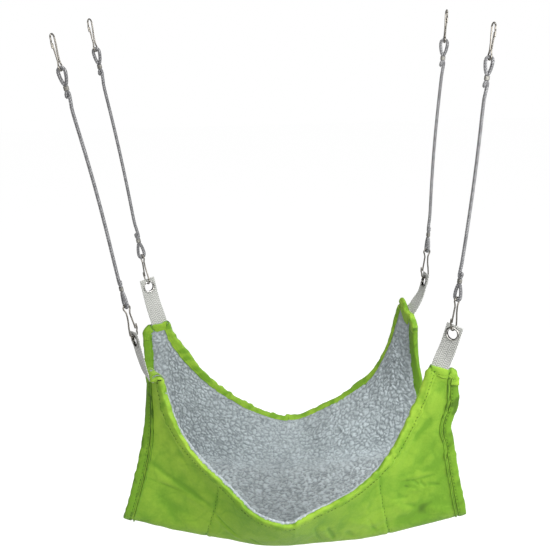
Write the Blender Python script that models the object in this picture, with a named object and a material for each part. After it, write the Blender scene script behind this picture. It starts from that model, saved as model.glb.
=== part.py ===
"""Rodent hammock: a fleece-lined fabric sling on four cords with wire snap hooks.

The origin is midway between the four cage bar contacts of the upper hooks.
X runs left to right, Y runs away from the viewer and Z runs up, in metres.
"""
import math

import bmesh
import bpy
from mathutils import Matrix, Vector

# Clearance between pieces that touch
CLEAR = 0.0003

# Hanging layout
FRONT_HOOK_SPAN = 0.4536
BACK_HOOK_SPAN = 0.4260
HOOK_PAIR_SPAN = 0.2080
HANG_DROP = 0.3304
SLING_SHIFT = 0.0146
SLING_ROLL_DEG = 0.6

# Wire snap hook, sizes on the wire's centreline
WIRE_D = 0.0018
HOOK_REACH = 0.0382
HOOK_BEND_R = 0.0044
HOOK_EYE_R = 0.0039
HOOK_NECK_W = 0.0023
HOOK_NECK_DROP = 0.0065
LATCH_OFFSET = 0.0012
LATCH_TIP = 0.0136
LATCH_KINK_LOW = 0.0056
LATCH_KINK_HIGH = 0.0086
GATE_END = 0.0098
GATE_BEND = 0.0130
GATE_ROOT_GAP = 0.0006
EYE_OPENING_DEG = 52

# Braided cord with a clamped loop at each end
CORD_D = 0.0040
CORD_BOW = 0.0016
LOOP_HALF_W = 0.0041
LOOP_SHOULDER = 0.0050
LOOP_LENGTH = 0.0240
STRAND_GAP = 0.0006
TAIL_LENGTH = 0.0075
TAIL_MERGE = 0.0120
CRIMP_H = 0.0045
CRIMP_T = 0.0006
LOOP_ROUND_SHARES = (0.72, 0.24)
LOOP_TAPER_SHARES = (0.6, 0.5)
RUN_SHARES = (0.25, 0.5, 0.75)
CORD_LOOP_STEP = 0.0030
CORD_RUN_STEP = 0.0110

# Webbing strap and its eyelet
STRAP_W = 0.0200
STRAP_T = 0.0016
STRAP_TUCK = 0.0092
STRAP_END = 0.0102
STRAP_FLAT = 0.0095
STRAP_LEAN_SHARE = 0.8
STRAP_BOW_SHARE = 0.4
STRAP_STATION_SHARES = (0.2, 0.4, 0.6, 0.8)
STATION_AHEAD_SHARE = 0.05
EYELET_BORE_R = 0.00575
EYELET_WALL = 0.0006
EYELET_FLANGE_R = 0.0082
EYELET_ROLL_R = 0.0074
EYELET_CROWN = 0.0008
EYELET_ROLL_H = 0.0007
ROLL_SHARES = (0.7, 0.3)
EYELET_SEAT = 0.0008

# Fabric sling
FLOOR_D = 0.2000
HORN_SPAN = 0.3260
HORN_SHOULDER = 0.0100
HORN_EASE = 0.0030
FLOOR_FLARE = 0.0145
HORN_CORNER_DROP = 0.0140
HORN_SLOPE_SHARE = 0.125
CUT_START_DROP = 0.0050
CUT_DEPTH = 0.1610
WALL_END_H = 0.1790
FLOOR_BELLY = 0.0360
FLOOR_SAG = 0.0040
EDGE_BULGE = 0.0550
WALL_BULGE = 0.0035
WAIST = 0.0130
CREASE_CUT = 0.0140
EYELET_REACH = 0.0122
EYELET_RISE = 0.0445
SHELL_T = 0.0012
LINING_T = 0.0040
LINING_EDGE_T = 0.0020
PLY_GAP = 0.0003
HEM_W = 0.0100
BINDING_T = 0.0008
HEM_SLACK = 0.0006
HORN_ROW = 0.0260
HORN_REACH = 0.0700
POCKET_FADE = 0.0450
EAR_LIFT = 0.0140
EAR_WIDTH = 0.0250

# Cut edge of a wall, a Bezier seen from the front: shares of its half width and depth
CUT_LOW_HANDLE_SHARE = (0.37, 0.0)
CUT_HIGH_HANDLE_SHARE = (0.90, 0.54)
CUT_STATION_SHARES = (0.0, 0.13, 0.26, 0.39, 0.52, 0.65, 0.78, 0.90, 1.0)
WALL_ROW_SHARES = (1 / 3, 2 / 3)
FLOOR_ROW_SHARES = (-0.5, 0.0, 0.5)
BELLY_POWER = 1.7

# Rings of facets
EYELET_SIDES = 20
CRIMP_ARC_STEPS = 4
EYE_STEPS = 9
BEND_STEPS = 7
ROUND_RESOLUTION = 2

# Edges sharper than these stay crisp
BAND_SMOOTH_DEG = 40
CLOTH_SMOOTH_DEG = 60

# Placing of each corner: side, depth side, then turns about the vertical in degrees
CORNERS = {
    "front_left": dict(side=-1, depth=-1, upper_hook=-108, lower_hook=30, gate=1,
                       strap=-61, horn=-40, pinch_share=0.5, ear=0, bow_share=1.0),
    "front_right": dict(side=1, depth=-1, upper_hook=-77, lower_hook=38, gate=-1,
                        strap=-33, horn=-6, pinch_share=0.0, ear=0, bow_share=0.75),
    "back_left": dict(side=-1, depth=1, upper_hook=-113, lower_hook=-52, gate=-1,
                      strap=30, horn=4, pinch_share=0.0, ear=0, bow_share=0.75),
    "back_right": dict(side=1, depth=1, upper_hook=-87, lower_hook=13, gate=-1,
                       strap=-79, horn=-42, pinch_share=0.2, ear=1, bow_share=-1.0),
}
HORN_PINCH = 0.0100

WIRE_R = WIRE_D / 2
CORD_R = CORD_D / 2
QUARTER_DEG = 90
UP = Vector((0, 0, 1))


def clear_scene():
    for item in list(bpy.data.objects):
        bpy.data.objects.remove(item, do_unlink=True)


def material(name, colour, roughness, metallic):
    made = bpy.data.materials.new(name)
    made.use_nodes = True
    shader = made.node_tree.nodes["Principled BSDF"]
    shader.inputs["Base Color"].default_value = (*colour, 1)
    shader.inputs["Roughness"].default_value = roughness
    shader.inputs["Metallic"].default_value = metallic
    return made


def add_object(name, data, finish, parent=None, location=(0, 0, 0)):
    item = bpy.data.objects.new(name, data)
    bpy.context.scene.collection.objects.link(item)
    data.materials.append(finish)
    item.parent = parent
    item.location = location
    return item


def add_empty(name, location, rotation=(0, 0, 0)):
    item = bpy.data.objects.new(name, None)
    bpy.context.scene.collection.objects.link(item)
    item.location = location
    item.rotation_euler = rotation
    return item


def mesh_from(name, verts, faces, smooth_angle):
    """A mesh with its faces turned outwards, smooth but for edges past the angle."""
    mesh = bpy.data.meshes.new(name)
    mesh.from_pydata([tuple(v) for v in verts], [], faces)
    work = bmesh.new()
    work.from_mesh(mesh)
    bmesh.ops.recalc_face_normals(work, faces=work.faces)
    work.to_mesh(mesh)
    work.free()
    mesh.shade_smooth()
    mesh.set_sharp_from_angle(angle=math.radians(smooth_angle))
    return mesh


def tube(name, points, radius, resolution):
    """A round wire or cord along points, with closed ends."""
    curve = bpy.data.curves.new(name, "CURVE")
    curve.dimensions = "3D"
    curve.bevel_depth = radius
    curve.bevel_resolution = resolution
    curve.render_resolution_u = 0
    curve.use_fill_caps = True
    spline = curve.splines.new("POLY")
    spline.points.add(len(points) - 1)
    for slot, point in zip(spline.points, points):
        slot.co = (*point, 1)
    spline.use_smooth = True
    return curve


def smoothstep(value):
    value = min(max(value, 0.0), 1.0)
    return value * value * (3 - 2 * value)


def lerp(start, end, share):
    return start + (end - start) * share


def arc(centre, radius, start_deg, end_deg, steps):
    """Points of an arc in the hook's plane, both ends included."""
    points = []
    for step in range(steps + 1):
        angle = math.radians(lerp(start_deg, end_deg, step / steps))
        points.append((centre[0] + radius * math.cos(angle), 0,
                       centre[1] + radius * math.sin(angle)))
    return points


# Wire snap hooks

HOOK_EYE_Z = HOOK_REACH - HOOK_EYE_R
HOOK_NECK_Z = HOOK_EYE_Z - HOOK_NECK_DROP
NECK_HALF = HOOK_NECK_W / 2
CORD_SEAT = HOOK_REACH - WIRE_R - CLEAR - CORD_R


def hook_frame_points():
    """From the latch tip round the bend, up the stiff leg and round the eye."""
    latch_x = HOOK_BEND_R + LATCH_OFFSET
    points = [(latch_x, 0, LATCH_TIP), (latch_x, 0, LATCH_KINK_HIGH),
              (HOOK_BEND_R, 0, LATCH_KINK_LOW)]
    points += arc((0, HOOK_BEND_R), HOOK_BEND_R, 0, -180, BEND_STEPS)
    points.append((-NECK_HALF, 0, HOOK_NECK_Z))
    points += arc((0, HOOK_EYE_Z), HOOK_EYE_R, 270 - EYE_OPENING_DEG,
                  -90 + EYE_OPENING_DEG, EYE_STEPS)
    points.append((NECK_HALF, 0, HOOK_NECK_Z))
    return points


def gate_points():
    """From the neck down to the end behind the latch tip, measured from the neck."""
    latch_x = HOOK_BEND_R + LATCH_OFFSET - WIRE_D - CLEAR
    root = Vector((NECK_HALF, 0, HOOK_NECK_Z))
    bend = Vector((latch_x, 0, GATE_BEND))
    end = Vector((latch_x, 0, GATE_END))
    start = root + (bend - root).normalized() * GATE_ROOT_GAP
    return [tuple(point - root) for point in (start, bend, end)]


def mirrored(points, side):
    return [(side * x, y, z) for x, y, z in points]


def add_hook(prefix, corner, side, parent, location, turn):
    """A hook frame and its gate, whose origin is on the flexing root at the neck."""
    frame = add_object(f"{prefix}_hook_{corner}",
                       tube(f"{prefix}_hook", mirrored(hook_frame_points(), side),
                            WIRE_R, ROUND_RESOLUTION),
                       STEEL, parent, location)
    frame.rotation_mode = "XZY"
    frame.rotation_euler = turn
    add_object(f"{prefix}_gate_{corner}",
               tube(f"{prefix}_gate", mirrored(gate_points(), side), WIRE_R, ROUND_RESOLUTION),
               STEEL_GATE, frame, (side * NECK_HALF, 0, HOOK_NECK_Z))
    return frame


# Cords

STRAND_HALF = (CORD_D + STRAND_GAP) / 2
CRIMP_MID = LOOP_LENGTH - CRIMP_H / 2


def smooth_route(route, steps):
    """Points on a Catmull-Rom curve through the route, about a step apart."""
    knots = [Vector(point) for point in route]
    first = knots[0] * 2 - knots[1]
    last = knots[-1] * 2 - knots[-2]
    padded = [first] + knots + [last]
    points = []
    for index in range(1, len(padded) - 2):
        before, start, end, after = padded[index - 1:index + 3]
        pieces = max(1, round((end - start).length / steps[index - 1]))
        for piece in range(pieces):
            t = piece / pieces
            points.append(0.5 * ((2 * start) + (end - before) * t
                                 + (2 * before - 5 * start + 4 * end - after) * t ** 2
                                 + (3 * start - before - 3 * end + after) * t ** 3))
    points.append(knots[-1])
    return points


def loop_route(turn_deg, sign):
    """A cord end, from the cut tail round the loop to the main run.

    The loop's crown is at the origin and the cord runs off along -Z times sign.
    """
    crimp_top = LOOP_LENGTH - CRIMP_H - CRIMP_T
    crimp_low = LOOP_LENGTH + CRIMP_T
    taper = (lerp(STRAND_HALF, LOOP_HALF_W, LOOP_TAPER_SHARES[0]),
             lerp(crimp_top, LOOP_SHOULDER, LOOP_TAPER_SHARES[1]))
    crown = (LOOP_HALF_W * LOOP_ROUND_SHARES[0], LOOP_SHOULDER * LOOP_ROUND_SHARES[1])
    half = [crown, (LOOP_HALF_W, LOOP_SHOULDER), taper, (STRAND_HALF, crimp_top),
            (STRAND_HALF, crimp_low), (STRAND_HALF, crimp_low + TAIL_LENGTH)]
    flat = [(-x, depth) for x, depth in half[::-1]] + [(0, 0)] + half
    flat.append((0, crimp_low + TAIL_LENGTH + TAIL_MERGE))
    turn = Matrix.Rotation(math.radians(turn_deg), 3, "Z")
    return [turn @ Vector((x, 0, -sign * depth)) for x, depth in flat]


def cord_points(length, top_turn, low_turn, bow):
    """The whole cord, from one cut end to the other, hanging from the origin."""
    top = loop_route(top_turn, 1)
    low = [point - UP * length for point in loop_route(low_turn, -1)]
    start, end = top[-1], low[-1]
    run = [start.lerp(end, share) + Vector((bow * math.sin(math.pi * share), 0, 0))
           for share in RUN_SHARES]
    route = top + run + low[::-1]
    fine = [CORD_LOOP_STEP] * (len(top) - 2)
    steps = fine + [CORD_RUN_STEP] * (len(run) + 3) + fine
    return smooth_route(route, steps)


def crimp_mesh(name):
    """A flat steel band closed round both strands of a loop."""
    half_w = STRAND_HALF + CORD_R + CLEAR
    half_d = CORD_R + CLEAR
    verts = []
    for grow, height in ((0, -CRIMP_H / 2), (CRIMP_T, -CRIMP_H / 2),
                         (CRIMP_T, CRIMP_H / 2), (0, CRIMP_H / 2)):
        for side in (1, -1):
            for step in range(CRIMP_ARC_STEPS + 1):
                angle = math.radians(lerp(-90, 90, step / CRIMP_ARC_STEPS))
                radius = half_d + grow
                verts.append((side * (half_w - half_d + radius * math.cos(angle)),
                              side * radius * math.sin(angle), height))
    around = 2 * (CRIMP_ARC_STEPS + 1)
    faces = [(ring * around + spot, ring * around + (spot + 1) % around,
              ((ring + 1) % 4) * around + (spot + 1) % around,
              ((ring + 1) % 4) * around + spot)
             for ring in range(4) for spot in range(around)]
    return mesh_from(name, verts, faces, BAND_SMOOTH_DEG)


# Fabric sling, in its own frame: horn tips at z = 0, middle at the origin

HORN_X = HORN_SPAN / 2
HORN_OUTER_X = HORN_X + STRAP_W / 2 + HORN_SHOULDER
CUT_X = HORN_X - STRAP_W / 2 - HORN_EASE
EYELET_X = HORN_X + EYELET_REACH
FLOOR_X = HORN_OUTER_X + FLOOR_FLARE
WALL_Y = FLOOR_D / 2
FLOOR_Z = -(WALL_END_H + FLOOR_BELLY)


def bezier(points, t):
    a, b, c, d = points
    return a * (1 - t) ** 3 + 3 * b * t * (1 - t) ** 2 + 3 * c * t ** 2 * (1 - t) + d * t ** 3


def edge_stations():
    """Top points (x, z) of the columns from the middle to the horn's outer corner."""
    drop = CUT_DEPTH - CUT_START_DROP
    xs = (0, CUT_X * CUT_LOW_HANDLE_SHARE[0], CUT_X * CUT_HIGH_HANDLE_SHARE[0], CUT_X)
    zs = (-CUT_DEPTH, -CUT_DEPTH + drop * CUT_LOW_HANDLE_SHARE[1],
          -CUT_DEPTH + drop * CUT_HIGH_HANDLE_SHARE[1], -CUT_START_DROP)
    stations = [(bezier(xs, t), bezier(zs, t)) for t in CUT_STATION_SHARES]
    stations += [(HORN_X - STRAP_W / 2, 0), (HORN_X, 0),
                 (HORN_X + STRAP_W / 2, -HORN_CORNER_DROP * HORN_SLOPE_SHARE),
                 (HORN_OUTER_X, -HORN_CORNER_DROP)]
    return stations


def floor_z(x):
    share = min(abs(x) / FLOOR_X, 1.0)
    return FLOOR_Z + FLOOR_BELLY * share ** BELLY_POWER


def edge_y(x, z):
    """Depth of a wall's top edge: the middle leans out, the horns stand upright."""
    low = min(-z / CUT_DEPTH, 1.0)
    return WALL_Y + EDGE_BULGE * low ** 2 * (1 - (x / HORN_OUTER_X) ** 2)


def wall_point(column, down):
    """A point on the right front wall: column is a top point, down is metres below it."""
    top_x, top_z = column
    floor_x = top_x * FLOOR_X / HORN_OUTER_X
    top = Vector((top_x, -edge_y(top_x, top_z), top_z))
    foot = Vector((floor_x, -WALL_Y, floor_z(floor_x)))
    share = 1 - down / (foot - top).length
    point = foot.lerp(top, share)
    swell = 4 * share * (1 - share)
    point.x -= WAIST * swell * (top_x / HORN_OUTER_X) ** 2
    point.y -= WALL_BULGE * swell
    return point


def wall_length(column):
    floor_x = column[0] * FLOOR_X / HORN_OUTER_X
    top = Vector((column[0], -edge_y(*column), column[1]))
    return (top - Vector((floor_x, -WALL_Y, floor_z(floor_x)))).length


def horn_shape(point, corner):
    """Turns, pinches and lifts a horn as the strap pulls it, fading down the wall."""
    hold = smoothstep(1 + point.z / HORN_REACH)
    if hold == 0:
        return point
    side, depth = corner["side"], corner["depth"]
    axis = Vector((side * HORN_X, depth * WALL_Y, 0))
    away = point - axis
    inward = smoothstep(-side * away.x / EAR_WIDTH)
    lift = corner["ear"] * EAR_LIFT * inward * hold ** 2
    turned = Matrix.Rotation(math.radians(corner["horn"]) * hold, 3, "Z") @ away
    turned.x -= side * HORN_PINCH * corner["pinch_share"] * hold
    return axis + turned + UP * lift


def sling_grid():
    """Points [column][row] of the surface where the two plies meet."""
    half = edge_stations()
    columns = [(-1, top) for top in half[:0:-1]] + [(1, top) for top in half]
    grid = []
    for side, top in columns:
        rows = {}
        length = wall_length(top)
        lowest = length - CREASE_CUT
        downs = [0, HEM_W, HORN_ROW] + [lerp(HORN_ROW, lowest, s) for s in WALL_ROW_SHARES]
        for depth in (-1, 1):
            corner = next(c for c in CORNERS.values() if (c["side"], c["depth"]) == (side, depth))
            wall = [wall_point(top, down) for down in downs + [lowest]]
            foot_x = top[0] * FLOOR_X / HORN_OUTER_X
            crease = Vector((foot_x, -WALL_Y, floor_z(foot_x)))
            inner = crease + Vector((0, CREASE_CUT, 0))
            middle = (wall[-1].lerp(inner, 0.5) + crease) / 2
            wall += [middle, inner]
            rows[depth] = [horn_shape(Vector((side * p.x, -depth * p.y, p.z)), corner)
                           for p in wall]
        floor = []
        for share in FLOOR_ROW_SHARES:
            sag = FLOOR_SAG * (1 - share ** 2)
            floor.append(Vector((side * foot_x, share * WALL_Y, floor_z(foot_x) - sag)))
        grid.append(rows[-1] + floor + rows[1][::-1])
    return grid


def grid_normals(grid):
    """Unit normals that point out of the sling, away from its lining."""
    last_c, last_r = len(grid) - 1, len(grid[0]) - 1
    normals = []
    for c in range(last_c + 1):
        line = []
        for r in range(last_r + 1):
            across = grid[min(c + 1, last_c)][r] - grid[max(c - 1, 0)][r]
            along = grid[c][min(r + 1, last_r)] - grid[c][max(r - 1, 0)]
            line.append(along.cross(across).normalized())
        normals.append(line)
    return normals


def pocket(point):
    """Half the gap between the plies: wider near a horn tip, where the strap is sewn in."""
    open_half = STRAP_T / 2 + CLEAR
    share = smoothstep((-point.z - HORN_ROW) / POCKET_FADE)
    return lerp(open_half, PLY_GAP / 2, share)


def sheet_solid(name, low, high):
    """A closed solid between two grids of points."""
    columns, rows = len(low), len(low[0])
    verts = [p for line in low for p in line] + [p for line in high for p in line]
    lift = columns * rows

    def spot(c, r):
        return c * rows + r

    faces = []
    for c in range(columns - 1):
        for r in range(rows - 1):
            near, side, far, up = spot(c, r), spot(c + 1, r), spot(c + 1, r + 1), spot(c, r + 1)
            for face in ((near, side, far), (near, far, up)):
                faces.append(face)
                faces.append(tuple(v + lift for v in reversed(face)))
    rim = [spot(c, 0) for c in range(columns)]
    rim += [spot(columns - 1, r) for r in range(1, rows)]
    rim += [spot(c, rows - 1) for c in range(columns - 2, -1, -1)]
    rim += [spot(0, r) for r in range(rows - 2, 0, -1)]
    for here, there in zip(rim, rim[1:] + rim[:1]):
        faces.append((there, here, here + lift, there + lift))
    return mesh_from(name, verts, faces, CLOTH_SMOOTH_DEG)


def lining_thickness(column, row, columns, rows):
    """The fleece is pressed flat under the bindings."""
    pressed = min(column, columns - 1 - column) < 2 or min(row, rows - 1 - row) < 2
    return LINING_EDGE_T if pressed else LINING_T


def binding_solid(name, stations):
    """A folded strip closed round the raw edges of both plies.

    A station is an edge point and the next point in, each with its normal.
    """
    verts, ring = [], 10
    edges = [station[0] for station in stations]
    for index, (edge, inner, edge_normal, inner_normal) in enumerate(stations):
        last, following = edges[max(index - 1, 0)], edges[min(index + 1, len(edges) - 1)]
        tangent = (following - last).normalized()
        into = inner - edge
        outward = -(into - tangent * into.dot(tangent)).normalized()

        def place(share, out, face, layer):
            point, normal = (inner, inner_normal) if share else (edge, edge_normal)
            ply = SHELL_T if face > 0 else LINING_EDGE_T
            off = face * (pocket(point) + ply + CLEAR + layer)
            return point + outward * out + normal * off

        beyond = HEM_SLACK + BINDING_T
        verts += [place(1, 0, 1, 0), place(1, 0, 1, BINDING_T), place(0, 0, 1, BINDING_T),
                  place(0, beyond, 1, 0), place(0, beyond, -1, 0), place(0, 0, -1, BINDING_T),
                  place(1, 0, -1, BINDING_T), place(1, 0, -1, 0),
                  place(0, HEM_SLACK, -1, 0), place(0, HEM_SLACK, 1, 0)]
    faces = []
    for s in range(len(stations) - 1):
        for k in range(ring):
            near, far = s * ring + k, s * ring + (k + 1) % ring
            near_next, far_next = near + ring, far + ring
            if k in (1, 7):
                faces += [(near, far, near_next), (far, far_next, near_next)]
            else:
                faces += [(near, far, far_next), (near, far_next, near_next)]
    for base in (0, (len(stations) - 1) * ring):
        faces += [tuple(base + k for k in part)
                  for part in ((0, 1, 2, 9), (2, 3, 9), (3, 4, 8, 9), (4, 5, 8), (5, 6, 7, 8))]
    return mesh_from(name, verts, faces, CLOTH_SMOOTH_DEG)


def add_sling(parent, shift):
    """Shell, lining and the four bindings, all from one grid of points."""
    grid = sling_grid()
    normals = grid_normals(grid)
    columns, rows = len(grid), len(grid[0])

    def offset(distance):
        return [[grid[c][r] + normals[c][r] * distance(c, r) for r in range(rows)]
                for c in range(columns)]

    shell_in = offset(lambda c, r: pocket(grid[c][r]))
    shell_out = offset(lambda c, r: pocket(grid[c][r]) + SHELL_T)
    lining_out = offset(lambda c, r: -pocket(grid[c][r]))
    lining_in = offset(lambda c, r: -pocket(grid[c][r]) - lining_thickness(c, r, columns, rows))
    add_object("outer_shell", sheet_solid("outer_shell", shell_out, shell_in),
               GREEN, parent, shift)
    add_object("fleece_lining", sheet_solid("fleece_lining", lining_out, lining_in),
               FLEECE, parent, shift)

    horn_columns = len(edge_stations()) - len(CUT_STATION_SHARES)
    inner = range(horn_columns + 1, columns - horn_columns - 1)
    for name, row, step in (("front_binding", 0, 1), ("back_binding", rows - 1, -1)):
        stations = [(grid[c][row], grid[c][row + step], normals[c][row], normals[c][row + step])
                    for c in inner]
        add_object(name, binding_solid(name, stations[::step]), GREEN_TRIM, parent, shift)
    for name, column, step in (("left_hem", 0, 1), ("right_hem", columns - 1, -1)):
        stations = list(zip(grid[column], grid[column + step],
                            normals[column], normals[column + step]))
        add_object(name, binding_solid(name, stations[::step]), GREEN_TRIM, parent, shift)


# Straps and eyelets, in the sling's frame

EYELET_DROP = EYELET_BORE_R - WIRE_R - EYELET_SEAT
EYELET_OUTER_R = EYELET_BORE_R + EYELET_WALL


def strap_frames(corner, pull):
    """Edge points and face normals of the strap from its sewn end up, and its eyelet.

    pull is the direction of the cord, which the eyelet's bore is square to.
    """
    side, depth = corner["side"], corner["depth"]
    seat = Vector((side * EYELET_X, depth * HOOK_PAIR_SPAN / 2, EYELET_RISE))
    columns = ((HORN_X - side * STRAP_W / 2, 0), (HORN_X + side * STRAP_W / 2, 0))
    tuck, lip = ([horn_shape(Vector((side * p.x, -depth * p.y, p.z)), corner)
                  for p in (wall_point(column, down) for column in columns)]
                 for down in (STRAP_TUCK, 0))
    lip_mid, tuck_mid = (lip[0] + lip[1]) / 2, (tuck[0] + tuck[1]) / 2
    base_up = (lip_mid - tuck_mid).normalized()
    base_across = (lip[1] - lip[0]).normalized()

    turn = math.radians(corner["strap"])
    normal = Vector((math.sin(turn), -math.cos(turn), 0))
    normal = (normal - pull * normal.dot(pull)).normalized()
    centre = seat - pull * EYELET_DROP
    rise = centre - lip_mid
    rise = (rise - normal * rise.dot(normal)).normalized()
    up = pull.lerp(rise, STRAP_LEAN_SHARE).normalized()
    across = up.cross(normal) if up.cross(normal).dot(base_across) > 0 else normal.cross(up)

    flat_start = centre - up * STRAP_FLAT
    reach = (flat_start - lip_mid).length * STRAP_BOW_SHARE
    handles = (lip_mid, lip_mid + base_up * reach, flat_start - up * reach, flat_start)
    sections = [(*tuck, base_across.cross(base_up)), (*lip, base_across.cross(base_up))]
    for share in STRAP_STATION_SHARES:
        point, ahead = bezier(handles, share), bezier(handles, share + STATION_AHEAD_SHARE)
        along = (ahead - point).normalized()
        wide = base_across.slerp(across, smoothstep(share))
        wide = (wide - along * wide.dot(along)).normalized() * STRAP_W / 2
        sections.append((point - wide, point + wide, wide.cross(along)))
    half = across * STRAP_W / 2
    for point in (flat_start, centre + up * STRAP_END):
        sections.append((point - half, point + half, across.cross(up)))
    return sections, centre, across, up


def ribbon_mesh(name, sections):
    verts, faces = [], []
    for left, right, normal in sections:
        step = normal.normalized() * STRAP_T / 2
        verts += [left - step, right - step, right + step, left + step]
    for s in range(len(sections) - 1):
        for k in range(4):
            faces.append((s * 4 + k, s * 4 + (k + 1) % 4, s * 4 + 4 + (k + 1) % 4, s * 4 + 4 + k))
    last = len(sections) * 4 - 4
    faces += [(0, 1, 2, 3), (last, last + 1, last + 2, last + 3)]
    return mesh_from(name, verts, faces, BAND_SMOOTH_DEG)


def ring_mesh(name, profile, sides):
    """A closed profile of (radius, height) turned about Z."""
    verts, faces = [], []
    for step in range(sides):
        angle = 2 * math.pi * step / sides
        verts += [(r * math.cos(angle), r * math.sin(angle), h) for r, h in profile]
    ring = len(profile)
    for step in range(sides):
        after = (step + 1) % sides
        faces += [(step * ring + k, after * ring + k, after * ring + (k + 1) % ring,
                   step * ring + (k + 1) % ring) for k in range(ring)]
    return mesh_from(name, verts, faces, CLOTH_SMOOTH_DEG)


def eyelet_profile():
    """A barrel through the strap, with a crowned flange and a rolled back edge."""
    face = STRAP_T / 2 + CLEAR
    top = face + EYELET_CROWN
    back = -face - EYELET_ROLL_H
    crown = lerp(EYELET_OUTER_R, EYELET_FLANGE_R, 0.5)
    return ((EYELET_BORE_R, -face), (EYELET_BORE_R, face), (EYELET_OUTER_R, top),
            (crown, top), (EYELET_FLANGE_R, face + EYELET_WALL / 2), (EYELET_FLANGE_R, face),
            (EYELET_OUTER_R, face), (EYELET_OUTER_R, -face), (EYELET_ROLL_R, -face),
            *((lerp(EYELET_BORE_R, EYELET_ROLL_R, share), back) for share in ROLL_SHARES))


def add_strap(name, corner, parent, shift, pull):
    sections, centre, width, up = strap_frames(corner, pull)
    strap = add_object(f"strap_{name}", ribbon_mesh(f"strap_{name}", sections),
                       WEBBING, parent, shift)
    outward = width.cross(up).normalized()
    if outward.y * corner["depth"] < 0:
        outward, width = -outward, -width
    facing = Matrix((width, up, outward)).transposed().to_4x4()
    place = Matrix.Translation(Vector(shift) + centre) @ facing
    drill = bmesh.new()
    bmesh.ops.create_cone(drill, cap_ends=True, segments=EYELET_SIDES,
                          radius1=EYELET_OUTER_R + CLEAR, radius2=EYELET_OUTER_R + CLEAR,
                          depth=STRAP_W / 2)
    drill_mesh = bpy.data.meshes.new(f"strap_drill_{name}")
    drill.to_mesh(drill_mesh)
    drill.free()
    cutter = bpy.data.objects.new(f"strap_drill_{name}", drill_mesh)
    bpy.context.scene.collection.objects.link(cutter)
    cutter.parent = parent
    cutter.matrix_local = place
    cutter.hide_render = True
    cutter.display_type = "WIRE"
    hole = strap.modifiers.new("eyelet_hole", "BOOLEAN")
    hole.operation = "DIFFERENCE"
    hole.object = cutter
    eyelet = add_object(f"eyelet_{name}",
                        ring_mesh(f"eyelet_{name}", eyelet_profile(), EYELET_SIDES),
                        NICKEL, parent)
    eyelet.matrix_local = place


# Assembly

def sling_place():
    """The sling's frame in the world: shifted, rolled and hung below the bars."""
    turn = Matrix.Rotation(math.radians(SLING_ROLL_DEG), 4, "Y")
    centre = Vector((SLING_SHIFT, 0, -HANG_DROP - EYELET_RISE + WIRE_R))
    return Matrix.Translation(centre) @ turn


def add_hanger(name, corner, seat):
    """Upper hook, cord with its crimps, and lower hook, in line from bar to eyelet.

    Gives back the direction of the line.
    """
    span = FRONT_HOOK_SPAN if corner["depth"] < 0 else BACK_HOOK_SPAN
    top = Vector((corner["side"] * span / 2, corner["depth"] * HOOK_PAIR_SPAN / 2, WIRE_R))
    line = top - seat
    lean = math.atan2(line.x, line.z)
    direction = line.normalized()
    pivot = top - direction * CORD_SEAT
    add_hook("upper", name, 1, None, top, (math.pi, lean, math.radians(corner["upper_hook"])))

    hanger = add_empty(f"hanger_{name}", pivot, (0, lean, 0))
    drop = line.length - CORD_SEAT
    length = drop - CORD_SEAT
    turns = {"upper": corner["upper_hook"] + QUARTER_DEG, "lower": corner["lower_hook"] + QUARTER_DEG}
    points = cord_points(length, turns["upper"], turns["lower"],
                         CORD_BOW * corner["bow_share"])
    add_object(f"cord_{name}", tube(f"cord_{name}", points, CORD_R, ROUND_RESOLUTION),
               CORD_GREY, hanger)
    for place, depth in (("upper", CRIMP_MID), ("lower", length - CRIMP_MID)):
        crimp = add_object(f"{place}_crimp_{name}", crimp_mesh(f"{place}_crimp_{name}"),
                           NICKEL, hanger, (0, 0, -depth))
        crimp.rotation_euler = (0, 0, math.radians(turns[place]))
    add_hook("lower", name, corner["gate"], hanger, (0, 0, -drop),
             (0, 0, math.radians(corner["lower_hook"])))
    return direction


def build():
    clear_scene()
    sling = sling_place()
    seats = {name: sling @ Vector((corner["side"] * EYELET_X,
                                   corner["depth"] * HOOK_PAIR_SPAN / 2, EYELET_RISE))
             for name, corner in CORNERS.items()}
    pivot = add_empty("sling_pivot", seats["front_left"], sling.to_euler())
    level = sling.to_3x3().inverted()
    shift = level @ (sling.translation - seats["front_left"])
    add_sling(pivot, shift)
    for name, corner in CORNERS.items():
        pull = add_hanger(name, corner, seats[name])
        add_strap(name, corner, pivot, shift, level @ pull)


STEEL = material("polished_wire", (0.62, 0.62, 0.60), 0.22, 1.0)
STEEL_GATE = material("gate_wire", (0.66, 0.66, 0.64), 0.22, 1.0)
NICKEL = material("nickel_plate", (0.70, 0.69, 0.66), 0.28, 1.0)
CORD_GREY = material("braided_cord", (0.30, 0.30, 0.31), 0.85, 0.0)
WEBBING = material("grey_webbing", (0.58, 0.59, 0.56), 0.85, 0.0)
GREEN = material("lime_fabric", (0.30, 0.58, 0.06), 0.75, 0.0)
GREEN_TRIM = material("lime_trim", (0.36, 0.66, 0.08), 0.75, 0.0)
FLEECE = material("sherpa_fleece", (0.38, 0.43, 0.46), 0.95, 0.0)

build()
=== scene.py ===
# %% [markdown]
# # A rodent hammock, dressed for its photograph
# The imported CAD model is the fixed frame: rigid solids with real joints. This lesson puts
# the looks around it: woven fabric, pebbled fleece, braided cord, webbing and bent wire.
# Everything is in metres, in the CAD model's own frame, so nothing has to be fitted.

# %% Load the frame
import math
from types import SimpleNamespace

import bmesh
import bpy
import numpy as np
from mathutils import Matrix, Vector
from mathutils.bvhtree import BVHTree


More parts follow.
